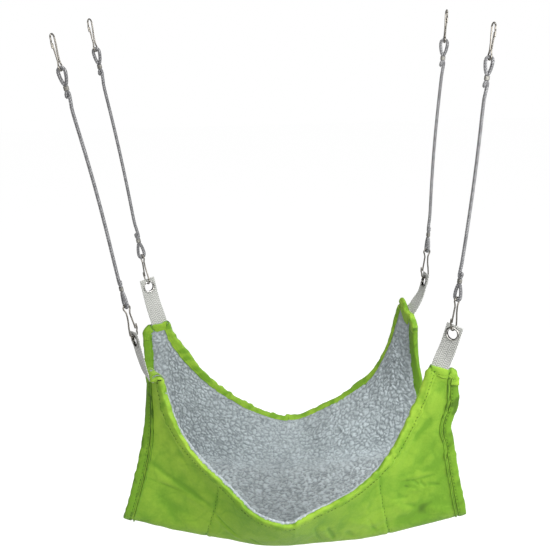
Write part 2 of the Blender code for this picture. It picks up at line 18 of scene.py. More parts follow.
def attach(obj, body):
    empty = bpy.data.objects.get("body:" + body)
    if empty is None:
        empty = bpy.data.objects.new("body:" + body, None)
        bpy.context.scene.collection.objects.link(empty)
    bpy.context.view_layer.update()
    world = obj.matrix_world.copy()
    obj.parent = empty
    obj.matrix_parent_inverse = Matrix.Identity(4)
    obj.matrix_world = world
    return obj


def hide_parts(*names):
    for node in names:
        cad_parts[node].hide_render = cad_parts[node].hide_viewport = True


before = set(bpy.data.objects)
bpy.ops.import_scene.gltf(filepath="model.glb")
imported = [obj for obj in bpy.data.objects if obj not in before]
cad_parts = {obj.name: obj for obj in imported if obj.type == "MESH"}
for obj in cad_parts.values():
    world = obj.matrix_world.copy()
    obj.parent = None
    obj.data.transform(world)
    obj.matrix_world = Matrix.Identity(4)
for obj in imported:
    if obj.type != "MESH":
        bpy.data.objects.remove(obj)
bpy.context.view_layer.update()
MM = 0.001

# %% [markdown]
# ## Camera
# A product photograph like this one is taken from a step away with a long lens. The
# camera's place and tilt were worked out from where the hooks and seams fall in the
# picture, so they are written here as plain numbers and turned into a matrix.

# %% Set up the camera
CAMERA_AT = Vector((-0.035, -1.353, 0.097))
YAW, PITCH, ROLL = (math.radians(angle) for angle in (1.39, 16.02, -1.36))
SENSOR_MM = 36.0
FOCAL_PIXELS, IMAGE_PIXELS = 1200, 550

forward = Vector((math.sin(YAW) * math.cos(PITCH), math.cos(YAW) * math.cos(PITCH),
                  -math.sin(PITCH)))
level_right = Vector((math.cos(YAW), -math.sin(YAW), 0))
level_up = level_right.cross(forward)
right = level_right * math.cos(ROLL) + level_up * math.sin(ROLL)
up = level_up * math.cos(ROLL) - level_right * math.sin(ROLL)

camera_data = bpy.data.cameras.new("camera")
camera_data.sensor_width = SENSOR_MM
camera_data.lens = SENSOR_MM * FOCAL_PIXELS / IMAGE_PIXELS
camera = bpy.data.objects.new("camera", camera_data)
bpy.context.scene.collection.objects.link(camera)
camera.matrix_world = (Matrix.Translation(CAMERA_AT)
                       @ Matrix((right, up, -forward)).transposed().to_4x4())
bpy.context.scene.camera = camera
bpy.context.scene.view_settings.view_transform = "Standard"
print(f"lens {camera_data.lens:.1f} mm")

# %% [markdown]
# ## Node helpers
# Every finish below is a small net of shader nodes. Two helpers keep the lines short:
# one adds a node and sets its sockets, the other starts a material.

# %% Helpers for shader nodes
def add_node(tree, kind, settings=(), **inputs):
    """A node with its settings and socket values; i0, i1 and so on are sockets by number."""
    made = tree.nodes.new(kind)
    for key, value in dict(settings).items():
        setattr(made, key, value)
    for key, value in inputs.items():
        numbered = key[0] == "i" and key[1:].isdigit()
        socket = made.inputs[int(key[1:]) if numbered else key.replace("_", " ")]
        if isinstance(value, bpy.types.NodeSocket):
            tree.links.new(value, socket)
        else:
            socket.default_value = value
    return made


def start_material(name, **values):
    """A Principled material, its node tree and its shader."""
    made = bpy.data.materials.new(name)
    made.use_nodes = True
    shader = made.node_tree.nodes["Principled BSDF"]
    for key, value in values.items():
        shader.inputs[key.replace("_", " ")].default_value = value
    return made, made.node_tree, shader


def blend_colours(tree, share, low, high):
    """A colour between two, by a share."""
    ramp = tree.nodes.new("ShaderNodeMix")
    ramp.data_type = "RGBA"
    for socket, value in ((ramp.inputs[0], share), (ramp.inputs[6], low), (ramp.inputs[7], high)):
        if isinstance(value, bpy.types.NodeSocket):
            tree.links.new(value, socket)
        else:
            socket.default_value = (*value, 1) if isinstance(value, tuple) else value
    return ramp.outputs[2]


def maths(tree, operation, *values, clamp=False):
    """The result of a Math node."""
    made = add_node(tree, "ShaderNodeMath", {"operation": operation, "use_clamp": clamp},
                    **{f"i{index}": value for index, value in enumerate(values)})
    return made.outputs[0]


def bump(tree, height, distance, strength=1.0, before=None):
    """A normal tilted by a height; before is the normal of a coarser bump under it."""
    made = add_node(tree, "ShaderNodeBump", Height=height, Distance=distance, Strength=strength)
    if before is not None:
        tree.links.new(before, made.inputs["Normal"])
    return made.outputs[0]


print("node helpers ready")

# %% [markdown]
# ## Light and floor
# The picture is a cut-out on white. Camera and see-through rays meet plain white behind
# the hammock, while the light that falls on it is a softer grey dome. Gloss rays see a
# dim room with a bright front, which gives bent wire its dark edges and pale core.

# %% Build the world
DOME_STRENGTH = 0.30
ROOM_DIM, ROOM_FRONT = (0.03, 0.025, 0.02), (1.0, 0.98, 0.94)
ROOM_TURN = (-3.6, -2.3)    # slope and offset: the room turns bright towards its front


def seen_directly(tree):
    """Light Path, and 1 for camera and see-through rays but 0 for light on things."""
    path = tree.nodes.new("ShaderNodeLightPath")
    return path, maths(tree, "MAXIMUM", path.outputs["Is Camera Ray"],
                       path.outputs["Is Transmission Ray"])


world = bpy.data.worlds.new("white_studio")
bpy.context.scene.world = world
world.use_nodes = True
tree = world.node_tree
tree.nodes.clear()
path, seen = seen_directly(tree)
way = add_node(tree, "ShaderNodeSeparateXYZ",
               Vector=tree.nodes.new("ShaderNodeTexCoord").outputs["Generated"]).outputs[1]
room = blend_colours(tree, maths(tree, "MULTIPLY_ADD", way, *ROOM_TURN, clamp=True),
                     ROOM_DIM, ROOM_FRONT)
shown = blend_colours(tree, path.outputs["Is Glossy Ray"], (1, 1, 1), room)
dome = add_node(tree, "ShaderNodeBackground", Strength=DOME_STRENGTH)
backdrop = add_node(tree, "ShaderNodeBackground", Color=shown, Strength=1.0)
seen = maths(tree, "MAXIMUM", seen, path.outputs["Is Glossy Ray"])
mixed = add_node(tree, "ShaderNodeMixShader", i0=seen, i1=dome.outputs[0], i2=backdrop.outputs[0])
add_node(tree, "ShaderNodeOutputWorld", Surface=mixed.outputs[0])
print("world", world.name, "with a dome of", DOME_STRENGTH)

# %% [markdown]
# Four soft boxes light the hammock as in a studio. The key one stands close by on the
# right, so the right wall is the brighter, the fill one is large and in front, and the
# other two lift the back and the top. Each lamp is an area light aimed at the sling.

# %% Place the lamps
# Where each soft box stands, its width in metres and its power in watts
LAMPS = {
    "key_softbox": ((0.78, -0.62, -0.05), 0.6, 9.5),
    "fill_softbox": ((-0.75, -1.6, 0.35), 1.2, 13.5),
    "back_softbox": ((0.35, 1.75, -0.25), 1.2, 9),
    "top_softbox": ((0.15, -0.15, 1.1), 0.9, 12),
}
LOOK_AT = Vector((0, 0, -0.45))

for name, (place, size, power) in LAMPS.items():
    lamp = bpy.data.lights.new(name, "AREA")
    lamp.size, lamp.energy = size, power
    item = bpy.data.objects.new(name, lamp)
    bpy.context.scene.collection.objects.link(item)
    item.location = place
    item.rotation_euler = (LOOK_AT - Vector(place)).to_track_quat("-Z", "Y").to_euler()
print("lamps", list(LAMPS))

# %% [markdown]
# The floor is plain and nearly white. To the camera it glows a little, so that it melts
# into the white backdrop, and its matt part still darkens where the hammock's shadow
# falls. To other rays it is an ordinary pale floor that throws some light back up.

# %% Lay the floor
STUDIO_FLOOR_Z, FLOOR_HALF = -1.05, 6

floor_finish, tree, shader = start_material("white_floor", Base_Color=(0.86, 0.86, 0.86, 1),
                                            Roughness=0.9)
path, seen = seen_directly(tree)
glow = add_node(tree, "ShaderNodeEmission", Strength=0.92)
matt = add_node(tree, "ShaderNodeBsdfDiffuse", Color=(0.3, 0.3, 0.3, 1))
both = add_node(tree, "ShaderNodeAddShader", i0=glow.outputs[0], i1=matt.outputs[0])
mixed = add_node(tree, "ShaderNodeMixShader", i0=seen, i1=shader.outputs[0], i2=both.outputs[0])
tree.links.new(mixed.outputs[0], tree.nodes["Material Output"].inputs["Surface"])

floor_mesh = bpy.data.meshes.new("studio_floor")
floor_mesh.from_pydata([(x * FLOOR_HALF, y * FLOOR_HALF, STUDIO_FLOOR_Z)
                        for x, y in ((-1, -1), (1, -1), (1, 1), (-1, 1))], [], [(0, 1, 2, 3)])
floor_mesh.materials.append(floor_finish)
floor = bpy.data.objects.new("studio_floor", floor_mesh)
bpy.context.scene.collection.objects.link(floor)
print("floor at", STUDIO_FLOOR_Z, "m")

# %% [markdown]
# ## Finishes
# The outer cloth is a plain-woven polyester, lime green and faintly silky. A weave
# follows the threads, not the air around the cloth, so the cloth meshes carry a UV map
# that is measured in metres along and across the fabric. Fine waves along the two make
# the threads, slow noise makes the colour a little uneven, as dye and handling do, and
# cells give the small creases, with painted shade darkening the colour along them. A
# value per point of a mesh paints more shade into the colour, deepest in its folds.

# %% Make the woven fabrics
LIME = ((0.150, 0.330, 0.020), (0.330, 0.540, 0.046))
# The bindings' lime cloth: the same cloth, with its bright end raised as a painted highlight
LIME_TRIM_HIGHLIT = ((0.165, 0.350, 0.020), (0.430, 0.660, 0.060))
# Painted shade: the colour that the cloth is blended into deep in folds and grooves
LIME_PAINTED_SHADE = (0.030, 0.075, 0.006)
THREADS_PER_M = 1900


def thread_waves(tree, cloth, per_metre):
    """Height of a plain weave: warp and weft threads that take turns on top."""
    turn = 2 * math.pi * per_metre / 2
    axes = add_node(tree, "ShaderNodeSeparateXYZ", Vector=cloth)
    across = maths(tree, "SINE", maths(tree, "MULTIPLY", axes.outputs[0], turn))
    along = maths(tree, "SINE", maths(tree, "MULTIPLY", axes.outputs[1], turn))
    return maths(tree, "MULTIPLY_ADD", maths(tree, "MULTIPLY", across, along), 0.5, 0.5)


def woven(name, colours, roughness, sheen, threads=THREADS_PER_M, depth=0.00012):
    """Crumpled cloth of a plain weave whose colour is a little uneven, with painted shade in its
    folds and creases.
    """
    made, tree, shader = start_material(name, Roughness=roughness, Sheen_Weight=sheen,
                                        Sheen_Roughness=0.5, Specular_IOR_Level=0.25)
    cloth = add_node(tree, "ShaderNodeUVMap", {"uv_map": "cloth"}).outputs[0]
    weave = thread_waves(tree, cloth, threads)
    place = tree.nodes.new("ShaderNodeTexCoord").outputs["Object"]
    slow = add_node(tree, "ShaderNodeTexNoise", Vector=place, Scale=14.0, Detail=3.0)
    fine = add_node(tree, "ShaderNodeTexNoise", Vector=place, Scale=420.0, Detail=2.0)
    warp = add_node(tree, "ShaderNodeTexNoise", Vector=place, Scale=30.0, Detail=3.0)
    pulled = add_node(tree, "ShaderNodeVectorMath", {"operation": "MULTIPLY_ADD"},
                      i0=warp.outputs["Color"], i1=(0.05, 0.05, 0.05), i2=place).outputs[0]
    creases = add_node(tree, "ShaderNodeTexVoronoi", {"feature": "DISTANCE_TO_EDGE"},
                       Vector=pulled, Scale=34.0).outputs[0]
    facets = add_node(tree, "ShaderNodeTexVoronoi", {"feature": "F1"},
                      Vector=pulled, Scale=34.0).outputs["Distance"]
    # Painted shade: the colour darkens along the edges of the crease cells
    crease = maths(tree, "MULTIPLY", creases, 7.0, clamp=True)
    # Painted shade: the mesh's value per point darkens the colour, and past 0.6 blends it into the
    # painted shade colour
    fold = add_node(tree, "ShaderNodeAttribute", {"attribute_name": "fold"}).outputs["Fac"]
    share = maths(tree, "MULTIPLY_ADD", slow.outputs[0], 1.1, -0.08)
    share = maths(tree, "ADD", share, maths(tree, "MULTIPLY_ADD", fine.outputs[0], 0.4, -0.2))
    share = maths(tree, "ADD", share, maths(tree, "MULTIPLY_ADD", weave, 0.16, -0.08))
    share = maths(tree, "ADD", share, maths(tree, "MULTIPLY_ADD", crease, 0.18, -0.16))
    share = maths(tree, "SUBTRACT", share, fold, clamp=True)
    dyed = blend_colours(tree, share, *colours)
    shade = maths(tree, "MULTIPLY_ADD", fold, 2.5, -1.5, clamp=True)
    tree.links.new(blend_colours(tree, shade, dyed, LIME_PAINTED_SHADE), shader.inputs["Base Color"])
    crumple = bump(tree, slow.outputs[0], 0.0012, 0.4)
    crumple = bump(tree, facets, 0.0030, 0.20, crumple)
    crumple = bump(tree, crease, 0.0003, 0.5, crumple)
    soft = bump(tree, fine.outputs[0], 0.0003, 0.35, crumple)
    tree.links.new(bump(tree, weave, depth, 0.6, soft), shader.inputs["Normal"])
    return made


LIME_FABRIC = woven("lime_fabric_look", LIME, 0.60, 0.06)
# Painted highlight: the bindings are lighter than the wall of the same cloth
LIME_BINDING = woven("lime_trim_highlit_look", LIME_TRIM_HIGHLIT, 0.62, 0.06)
THREAD = woven("lime_thread_look", ((0.03, 0.08, 0.006), (0.09, 0.20, 0.015)), 0.7, 0.0)
print("fabrics", LIME_FABRIC.name, LIME_BINDING.name, THREAD.name)

# %% [markdown]
# Webbing is a heavier weave in a herringbone: the yarns slant one way in a rib and the
# other way in the next. A zigzag across the ribbon, added to the way along it, bends
# straight waves into that pattern, and a little grime greys it.

# %% Make the webbing
WEB_RIB_M, WEB_YARN_M = 0.0034, 0.0029

WEBBING, tree, shader = start_material("webbing_look", Roughness=0.82, Sheen_Weight=0.15,
                                       Specular_IOR_Level=0.3)
cloth = add_node(tree, "ShaderNodeUVMap", {"uv_map": "cloth"}).outputs[0]
axes = add_node(tree, "ShaderNodeSeparateXYZ", Vector=cloth)
zigzag = maths(tree, "PINGPONG", axes.outputs[0], WEB_RIB_M)
slant = maths(tree, "ADD", axes.outputs[1], zigzag)
yarn = maths(tree, "SINE", maths(tree, "MULTIPLY", slant, 2 * math.pi / WEB_YARN_M))
yarn = maths(tree, "MULTIPLY_ADD", yarn, 0.5, 0.5)
rib = maths(tree, "DIVIDE", zigzag, WEB_RIB_M)
grime_and_rim_shade = add_node(tree, "ShaderNodeTexNoise", Scale=60.0, Detail=4.0,
                 Vector=tree.nodes.new("ShaderNodeTexCoord").outputs["Object"])
share = maths(tree, "ADD", maths(tree, "MULTIPLY", yarn, 0.75),
              maths(tree, "MULTIPLY", grime_and_rim_shade.outputs[0], 0.25), clamp=True)
tree.links.new(blend_colours(tree, share, (0.27, 0.275, 0.255), (0.68, 0.685, 0.65)),
               shader.inputs["Base Color"])
woven_height = maths(tree, "ADD", yarn, maths(tree, "MULTIPLY", rib, 0.6))
tree.links.new(bump(tree, woven_height, 0.00025, 0.8), shader.inputs["Normal"])
print("webbing", WEBBING.name)

# %% [markdown]
# Sherpa fleece is a knit whose pile has curled up into small tufts. The tufts are real
# bumps in the lining's mesh further on, and each point carries a value that follows how
# high it stands, with more painted shade over the floor and under the bindings. Here that
# value paints shade into the gaps between tufts. Fine noise makes the curls on each tuft.

# %% Make the fleece
TUFT_CURLS = 900.0

FLEECE, tree, shader = start_material("sherpa_look", Roughness=0.95, Sheen_Weight=0.35,
                                      Sheen_Roughness=0.6, Specular_IOR_Level=0.15)
pile = add_node(tree, "ShaderNodeAttribute", {"attribute_name": "pile"}).outputs["Fac"]
place = tree.nodes.new("ShaderNodeTexCoord").outputs["Object"]
curls = add_node(tree, "ShaderNodeTexNoise", Vector=place, Scale=TUFT_CURLS, Detail=4.0,
                 Distortion=1.6)
patches = add_node(tree, "ShaderNodeTexNoise", Vector=place, Scale=32.0, Detail=2.0)
share = maths(tree, "MULTIPLY_ADD", curls.outputs[0], 0.32, -0.16)
share = maths(tree, "ADD", pile, share)
share = maths(tree, "ADD", share, maths(tree, "MULTIPLY_ADD", patches.outputs[0], 0.3, -0.15),
              clamp=True)
# Painted shade: low values give the dark colour of the gaps between tufts
tree.links.new(blend_colours(tree, share, (0.19, 0.218, 0.230), (0.512, 0.574, 0.596)),
               shader.inputs["Base Color"])
tree.links.new(bump(tree, curls.outputs[0], 0.0008, 0.6), shader.inputs["Normal"])
print("fleece", FLEECE.name)

# %% [markdown]
# The cord's yarns are spun from a pale and a darker grey. Its mesh says which yarn each
# point is on and how high it stands, so the two colours follow the braid exactly and shade
# is painted into the gaps between the yarns.

# %% Make the cord's finish
CORD_LOOK, tree, shader = start_material("braided_cord_look", Roughness=0.8,
                                         Sheen_Weight=0.1, Specular_IOR_Level=0.3)
height = add_node(tree, "ShaderNodeAttribute", {"attribute_name": "braid_height"}).outputs["Fac"]
family = add_node(tree, "ShaderNodeAttribute", {"attribute_name": "yarn"}).outputs["Fac"]
fibres = add_node(tree, "ShaderNodeTexNoise", Scale=1800.0, Detail=2.0,
                  Vector=tree.nodes.new("ShaderNodeTexCoord").outputs["Object"])
yarn_colour = blend_colours(tree, family, (0.20, 0.20, 0.205), (0.87, 0.87, 0.88))
share = maths(tree, "MULTIPLY_ADD", fibres.outputs[0], 0.4, -0.2)
share = maths(tree, "ADD", share, height, clamp=True)
# Painted shade: low points, in the gaps between the yarns, take a near-black colour
tree.links.new(blend_colours(tree, share, (0.06, 0.06, 0.065), yarn_colour),
               shader.inputs["Base Color"])
tree.links.new(bump(tree, fibres.outputs[0], 0.0002, 0.6), shader.inputs["Normal"])
print("cord", CORD_LOOK.name)

# %% [markdown]
# The wire is polished steel, the crimps and eyelets are nickel plate. Each has fine
# scratches in its gloss and a little staining. Shade is painted at the rims of a ring,
# and such a ring's mesh says where.

# %% Make the metals
# The near-black colour of the painted shade at an eyelet's rims
RIM_PAINTED_SHADE = (0.035, 0.035, 0.03)


def metal(name, colour, roughness, scratch):
    """Plated or polished metal with fine handling marks in its gloss."""
    made, tree, shader = start_material(name, Metallic=1.0)
    place = tree.nodes.new("ShaderNodeTexCoord").outputs["Object"]
    marks = add_node(tree, "ShaderNodeTexNoise", Vector=place, Scale=700.0, Detail=5.0)
    stains = add_node(tree, "ShaderNodeTexNoise", Vector=place, Scale=120.0, Detail=2.0)
    tree.links.new(maths(tree, "MULTIPLY_ADD", marks.outputs[0], scratch, roughness),
                   shader.inputs["Roughness"])
    dull = tuple(value * 0.72 for value in colour)
    plated = blend_colours(tree, stains.outputs[0], dull, colour)
    # Painted shade: the colour blends into near black where a mesh asks for it, at an eyelet's rims
    grime_and_rim_shade = add_node(tree, "ShaderNodeAttribute", {"attribute_name": "grime_and_rim_shade"}).outputs["Fac"]
    tree.links.new(blend_colours(tree, grime_and_rim_shade, plated, RIM_PAINTED_SHADE), shader.inputs["Base Color"])
    tree.links.new(bump(tree, marks.outputs[0], 0.00001, 0.06), shader.inputs["Normal"])
    return made


STEEL = metal("bent_wire_look", (0.33, 0.31, 0.275), 0.27, 0.03)
NICKEL = metal("nickel_look", (0.66, 0.65, 0.62), 0.18, 0.10)
CRIMP_LOOK = metal("dull_crimp_look", (0.33, 0.325, 0.30), 0.50, 0.2)
print("metals", STEEL.name, NICKEL.name, CRIMP_LOOK.name)

# %% [markdown]
# ## Mesh helpers
# Most pieces are lofts: rings or rows of points joined by quads. One helper turns a
# block of points [row][column] into quads, and one makes the object, with its finish,
# its UV map in metres and any values per point that the finish reads.

# %% Helpers for lofted meshes
def loft_faces(rows, columns, closed):
    """Quads of a block of points, numbered row by row; closed joins the last column."""
    wide = columns if closed else columns - 1
    row, column = np.meshgrid(np.arange(rows - 1), np.arange(wide), indexing="ij")
    after = (column + 1) % columns
    return np.stack([row * columns + column, row * columns + after,
                     (row + 1) * columns + after, (row + 1) * columns + column],
                    axis=-1).reshape(-1, 4)


def make_object(name, points, faces, finish, uv=None, values=(), body=None):
    """A smooth object from points and faces, with a value per point for each name."""
    mesh = bpy.data.meshes.new(name)
    mesh.from_pydata(np.asarray(points).reshape(-1, 3).tolist(), [],
                     [tuple(int(v) for v in face) for face in faces])
    work = bmesh.new()
    work.from_mesh(mesh)
    bmesh.ops.recalc_face_normals(work, faces=work.faces)
    work.to_mesh(mesh)
    work.free()
    mesh.shade_smooth()
    if uv is not None:
        layer = mesh.uv_layers.new(name="cloth")
        corner = np.empty(len(mesh.loops), np.int32)
        mesh.loops.foreach_get("vertex_index", corner)
        layer.data.foreach_set("uv", np.asarray(uv, float).reshape(-1, 2)[corner].ravel())
    for key, numbers in dict(values).items():
        attribute = mesh.attributes.new(key, "FLOAT", "POINT")
        attribute.data.foreach_set("value", np.asarray(numbers, np.float32).ravel())
    mesh.materials.append(finish)
    made = bpy.data.objects.new(name, mesh)
    bpy.context.scene.collection.objects.link(made)
    if body:
        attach(made, body)
    return made


print("loft helpers ready")

# %% [markdown]
# Cords, wires and ribbons are lofted along a line. A curve is drawn through a few
# knots, two directions square to it are carried along so that nothing twists, and rings
# of points are set round it. A tube is closed by a face at each end.

# %% Helpers for lines and tubes
def unit(vectors):
    """Vectors of length 1."""
    return vectors / np.linalg.norm(vectors, axis=-1, keepdims=True)


def smoothstep(value):
    """A share from 0 to 1 that starts and ends gently."""
    value = np.clip(value, 0, 1)
    return value * value * (3 - 2 * value)


def smooth_curve(knots, step):
    """Points about a step apart on a Catmull-Rom curve through the knots."""
    knots = np.asarray(knots, float)
    padded = np.vstack([2 * knots[0] - knots[1], knots, 2 * knots[-1] - knots[-2]])
    points = []
    for before, start, end, after in zip(padded, padded[1:], padded[2:], padded[3:]):
        pieces = max(1, round(np.linalg.norm((end - start)[:3]) / step))
        for t in np.arange(pieces) / pieces:
            points.append(0.5 * (2 * start + (end - before) * t
                                 + (2 * before - 5 * start + 4 * end - after) * t ** 2
                                 + (3 * start - before - 3 * end + after) * t ** 3))
    return np.array(points + [knots[-1]])


def carried_frames(line):
    """Two directions square to a line at each point, carried along without twisting."""
    ahead = unit(np.gradient(line, axis=0))
    side = np.cross(ahead[0], (0.3, 0.9, 0.2))
    sides = []
    for direction in ahead:
        side = side - direction * side.dot(direction)
        side = side / np.linalg.norm(side)
        sides.append(side)
    sides = np.array(sides)
    return sides, np.cross(ahead, sides)


def tube_points(line, radius, around):
    """Rings of points round a line; radius may be one number or a block of them."""
    sides, tops = carried_frames(line)
    angle = np.arange(around) * 2 * math.pi / around
    reach = np.broadcast_to(np.asarray(radius, float), (len(line), around))[..., None]
    return line[:, None] + reach * (sides[:, None] * np.cos(angle)[:, None]
                                    + tops[:, None] * np.sin(angle)[:, None])


def capped(rows, around):
    """Faces of a tube with both ends closed."""
    last = (rows - 1) * around
    return (loft_faces(rows, around, True).tolist()
            + [list(range(around)), list(range(last, last + around))])


print("tube helpers ready")

# %% [markdown]
# ## Where each corner hangs
# Each cord runs in a straight line from a cage bar to the seat of an eyelet in the
# sling. These are the same sizes that the CAD model is built from. From them come the
# place of every hook, crimp and loop, each as a matrix that carries its own axes.
#
# The table of corners also holds what differs from one to the next: the degrees by which
# the two hooks, the strap and the horn are turned, the side that the lower gate is on,
# how far down a horn's turn reaches, how much it is pinched, stretched up into an ear or
# curled over, and how the cord bows.

# %% Work out the hanging lines
WIRE_R = 0.0009
PAIR_HALF = 0.1040                     # the front and back hooks stand this far out
HOOK_SPAN = {-1: 0.4536, 1: 0.4260}    # between the two hooks in front and behind
EYELET_X, EYELET_RISE = 0.1752, 0.0445
CORD_SEAT = 0.0350                     # from a bar or eyelet to the cord's crown
CORNER = {
    "front_left": dict(side=-1, depth=-1, upper=-108, lower=30, gate=1, strap=-61,
                       horn=-62, pinch=1.0, reach=0.140, ear=0, curl=135, bow=1.0),
    "front_right": dict(side=1, depth=-1, upper=-77, lower=38, gate=-1, strap=-33,
                        horn=-6, pinch=0.0, reach=0.070, ear=0, curl=0, bow=0.75),
    "back_left": dict(side=-1, depth=1, upper=-113, lower=-52, gate=-1, strap=30,
                      horn=4, pinch=0.0, reach=0.070, ear=0, curl=0, bow=0.75),
    "back_right": dict(side=1, depth=1, upper=-87, lower=13, gate=-1, strap=-79,
                       horn=-73, pinch=0.77, reach=0.177, ear=1, curl=0, bow=-1.0),
}
SLING = Matrix.Translation((0.0146, 0, -0.3740)) @ Matrix.Rotation(math.radians(0.6), 4, "Y")


def turned(degrees):
    """A turn about the upright axis."""
    return Matrix.Rotation(math.radians(degrees), 4, "Z")


def placed(matrix, points):
    """Points carried by a matrix."""
    block = np.array(matrix)
    return np.asarray(points, float) @ block[:3, :3].T + block[:3, 3]


for name, corner in CORNER.items():
    seat = SLING @ Vector((corner["side"] * EYELET_X, corner["depth"] * PAIR_HALF, EYELET_RISE))
    top = Vector((corner["side"] * HOOK_SPAN[corner["depth"]] / 2,
                  corner["depth"] * PAIR_HALF, WIRE_R))
    line = top - seat
    lean = math.atan2(line.x, line.z)
    corner["pull"] = line.normalized()
    corner["hanger"] = (Matrix.Translation(top - corner["pull"] * CORD_SEAT)
                        @ Matrix.Rotation(lean, 4, "Y"))
    corner["cord_length"] = line.length - 2 * CORD_SEAT
    upright = Matrix.Rotation(lean, 4, "Y") @ turned(corner["upper"])
    corner["upper_hook"] = (Matrix.Translation(top) @ upright
                            @ Matrix.Rotation(math.pi, 4, "X"))
    low = Matrix.Translation((0, 0, CORD_SEAT - line.length))
    corner["lower_hook"] = corner["hanger"] @ low @ turned(corner["lower"])
    print(name, "hangs", round(line.length / MM, 1), "mm from bar to eyelet")

# %% [markdown]
# ## Cords
# Each cord is a length of 4 mm braid. Its two ends are turned back into loops, the cut
# tails lie beside the run, and a crimp holds each loop. The cord's middle line is one
# smooth curve from cut end to cut end, so its length can be measured.

# %% Route a cord through its two loops
CORD_D = 0.0040
LOOP_HALF, LOOP_SHOULDER, LOOP_LENGTH = 0.0041, 0.0050, 0.0240
STRAND_HALF = 0.0010               # half the way between the two strands in a crimp
CRIMP_H, CRIMP_T = 0.0045, 0.0005
CRIMP_MID = LOOP_LENGTH - CRIMP_H / 2
CORD_BOW = 0.0016
LINE_STEP = 0.0007


def loop_route(turn, sign):
    """A cord end, from the cut tail round the loop to the main run, crown at z = 0.

    Its knots are written as (aside, depth below the crown).
    """
    top, low = LOOP_LENGTH - CRIMP_H - CRIMP_T, LOOP_LENGTH + CRIMP_T
    half = [(LOOP_HALF * 0.72, LOOP_SHOULDER * 0.24), (LOOP_HALF, LOOP_SHOULDER),
            (STRAND_HALF + (LOOP_HALF - STRAND_HALF) * 0.7, (top + LOOP_SHOULDER) / 2),
            (STRAND_HALF, top), (STRAND_HALF, low)]
    tail = [(-x, depth) for x, depth in half[::-1]]
    flat = ([(-0.0021, low + 0.0078), (-0.0019, low + 0.0042)] + tail + [(0, 0)] + half
            + [(0.0015, low + 0.0045), (0.0007, low + 0.013), (0, low + 0.024)])
    return placed(turned(turn), [(x, 0, -sign * depth) for x, depth in flat])


def cord_line(corner):
    """The cord's middle line in its hanger's own axes."""
    top = loop_route(corner["upper"] + 90, 1)
    low = loop_route(corner["lower"] + 90, -1) - (0, 0, corner["cord_length"])
    share = np.array([[0.25], [0.5], [0.75]])
    run = top[-1] + (low[-1] - top[-1]) * share
    run[:, 0] += CORD_BOW * corner["bow"] * np.sin(math.pi * share[:, 0])
    return smooth_curve(np.vstack([top, run, low[::-1]]), LINE_STEP)


print("cord of", round(CORD_D / MM, 1), "mm, loops of", round(LOOP_LENGTH / MM), "mm")

# %% [markdown]
# A round braid has strands that wind both ways and pass over and under each other, so
# the tube's radius goes up where a strand lies on top and down where it dives. The same
# height colours the gaps. In a crimp the soft cord is pressed thinner.

# %% Braid the cord
BRAID_STRANDS, BRAID_PITCH, BRAID_DEEP = 6, 0.0180, 0.00036
PRESSED, PRESS_FADE = 0.65, 0.0030    # share of its radius in a crimp, and the way back
FRAY = 0.0014


def squeeze(corner, depth):
    """The share of its radius that the cord has at each depth below the upper crown."""
    off = np.minimum(np.abs(depth - CRIMP_MID),
                     np.abs(depth - (corner["cord_length"] - CRIMP_MID)))
    return 1 - (1 - PRESSED) * (1 - smoothstep((off - CRIMP_H / 2) / PRESS_FADE))


def braid(line, press, around=20):
    """Rings of a braided cord along a line, the height of each point and its yarn."""
    step = np.linalg.norm(np.diff(line, axis=0), axis=1)
    along = np.concatenate([[0], np.cumsum(step)])[:, None]
    angle = np.arange(around) * 2 * math.pi / around
    phase = 2 * math.pi * along / BRAID_PITCH
    left = BRAID_STRANDS * angle + BRAID_STRANDS * phase
    right = BRAID_STRANDS * angle - BRAID_STRANDS * phase
    over = np.sin((left + right) / 2) * np.sin((left - right) / 2)
    top = np.where(over > 0, np.abs(np.cos(left / 2)), np.abs(np.cos(right / 2)))
    height = top ** 0.8 * np.clip(np.abs(over) * 2.2, 0.25, 1)
    fray = np.clip(np.minimum(along, along[-1] - along) / FRAY, 0.4, 1)
    radius = (CORD_D / 2 + BRAID_DEEP * (height - 0.7)) * fray * press[:, None]
    return tube_points(line, radius, around), height, (over > 0).astype(float)


print(BRAID_STRANDS, "strands each way, one turn every", round(BRAID_PITCH / MM), "mm")

# %% [markdown]
# A crimp is a flat band of soft metal, closed round both strands so that its two ends
# lap. Its cross-section is turned round an oval: flat in the middle, rolled outwards a
# little at both edges, and thicker where it laps.

# %% Shape the crimp bands
# How far out, in band thicknesses, and how high, in band heights, from edge to edge
CRIMP_SECTION = ((0, -0.42), (0.35, -0.5), (0.8, -0.49), (1.05, -0.38), (0.86, -0.2),
                 (0.86, 0.2), (1.05, 0.38), (0.8, 0.49), (0.35, 0.5), (0, 0.42))


def crimp_ring(around=32):
    """Points and faces of a band closed round both strands."""
    half_d = CORD_D / 2 * PRESSED + 0.0002
    half_w = STRAND_HALF + half_d
    angle = np.arange(around) * 2 * math.pi / around
    straight = half_w - half_d
    rings = []
    for grow, height in CRIMP_SECTION:
        lap = 1 + 0.5 * np.clip(1 - np.abs(angle - math.pi / 2) / 0.5, 0, 1) ** 0.3 * (grow > 0.3)
        radius = half_d + CRIMP_T * grow * lap
        rings.append(np.stack([np.sign(np.cos(angle)) * straight * (np.abs(np.cos(angle)) > 0.05)
                               + radius * np.cos(angle), radius * np.sin(angle),
                               np.full(around, height * CRIMP_H)], axis=-1))
    block = np.array(rings + rings[:1])
    return block[:-1], loft_faces(len(rings) + 1, around, True) % (len(rings) * around)


print("crimp bands", round(CRIMP_H / MM, 1), "mm high")

# %% [markdown]
# Now the four cords are made, each with its two crimps. All three ride on the hanger
# that swings, and each takes the place of its plain solid. The length of the cord's
# middle line is then measured.

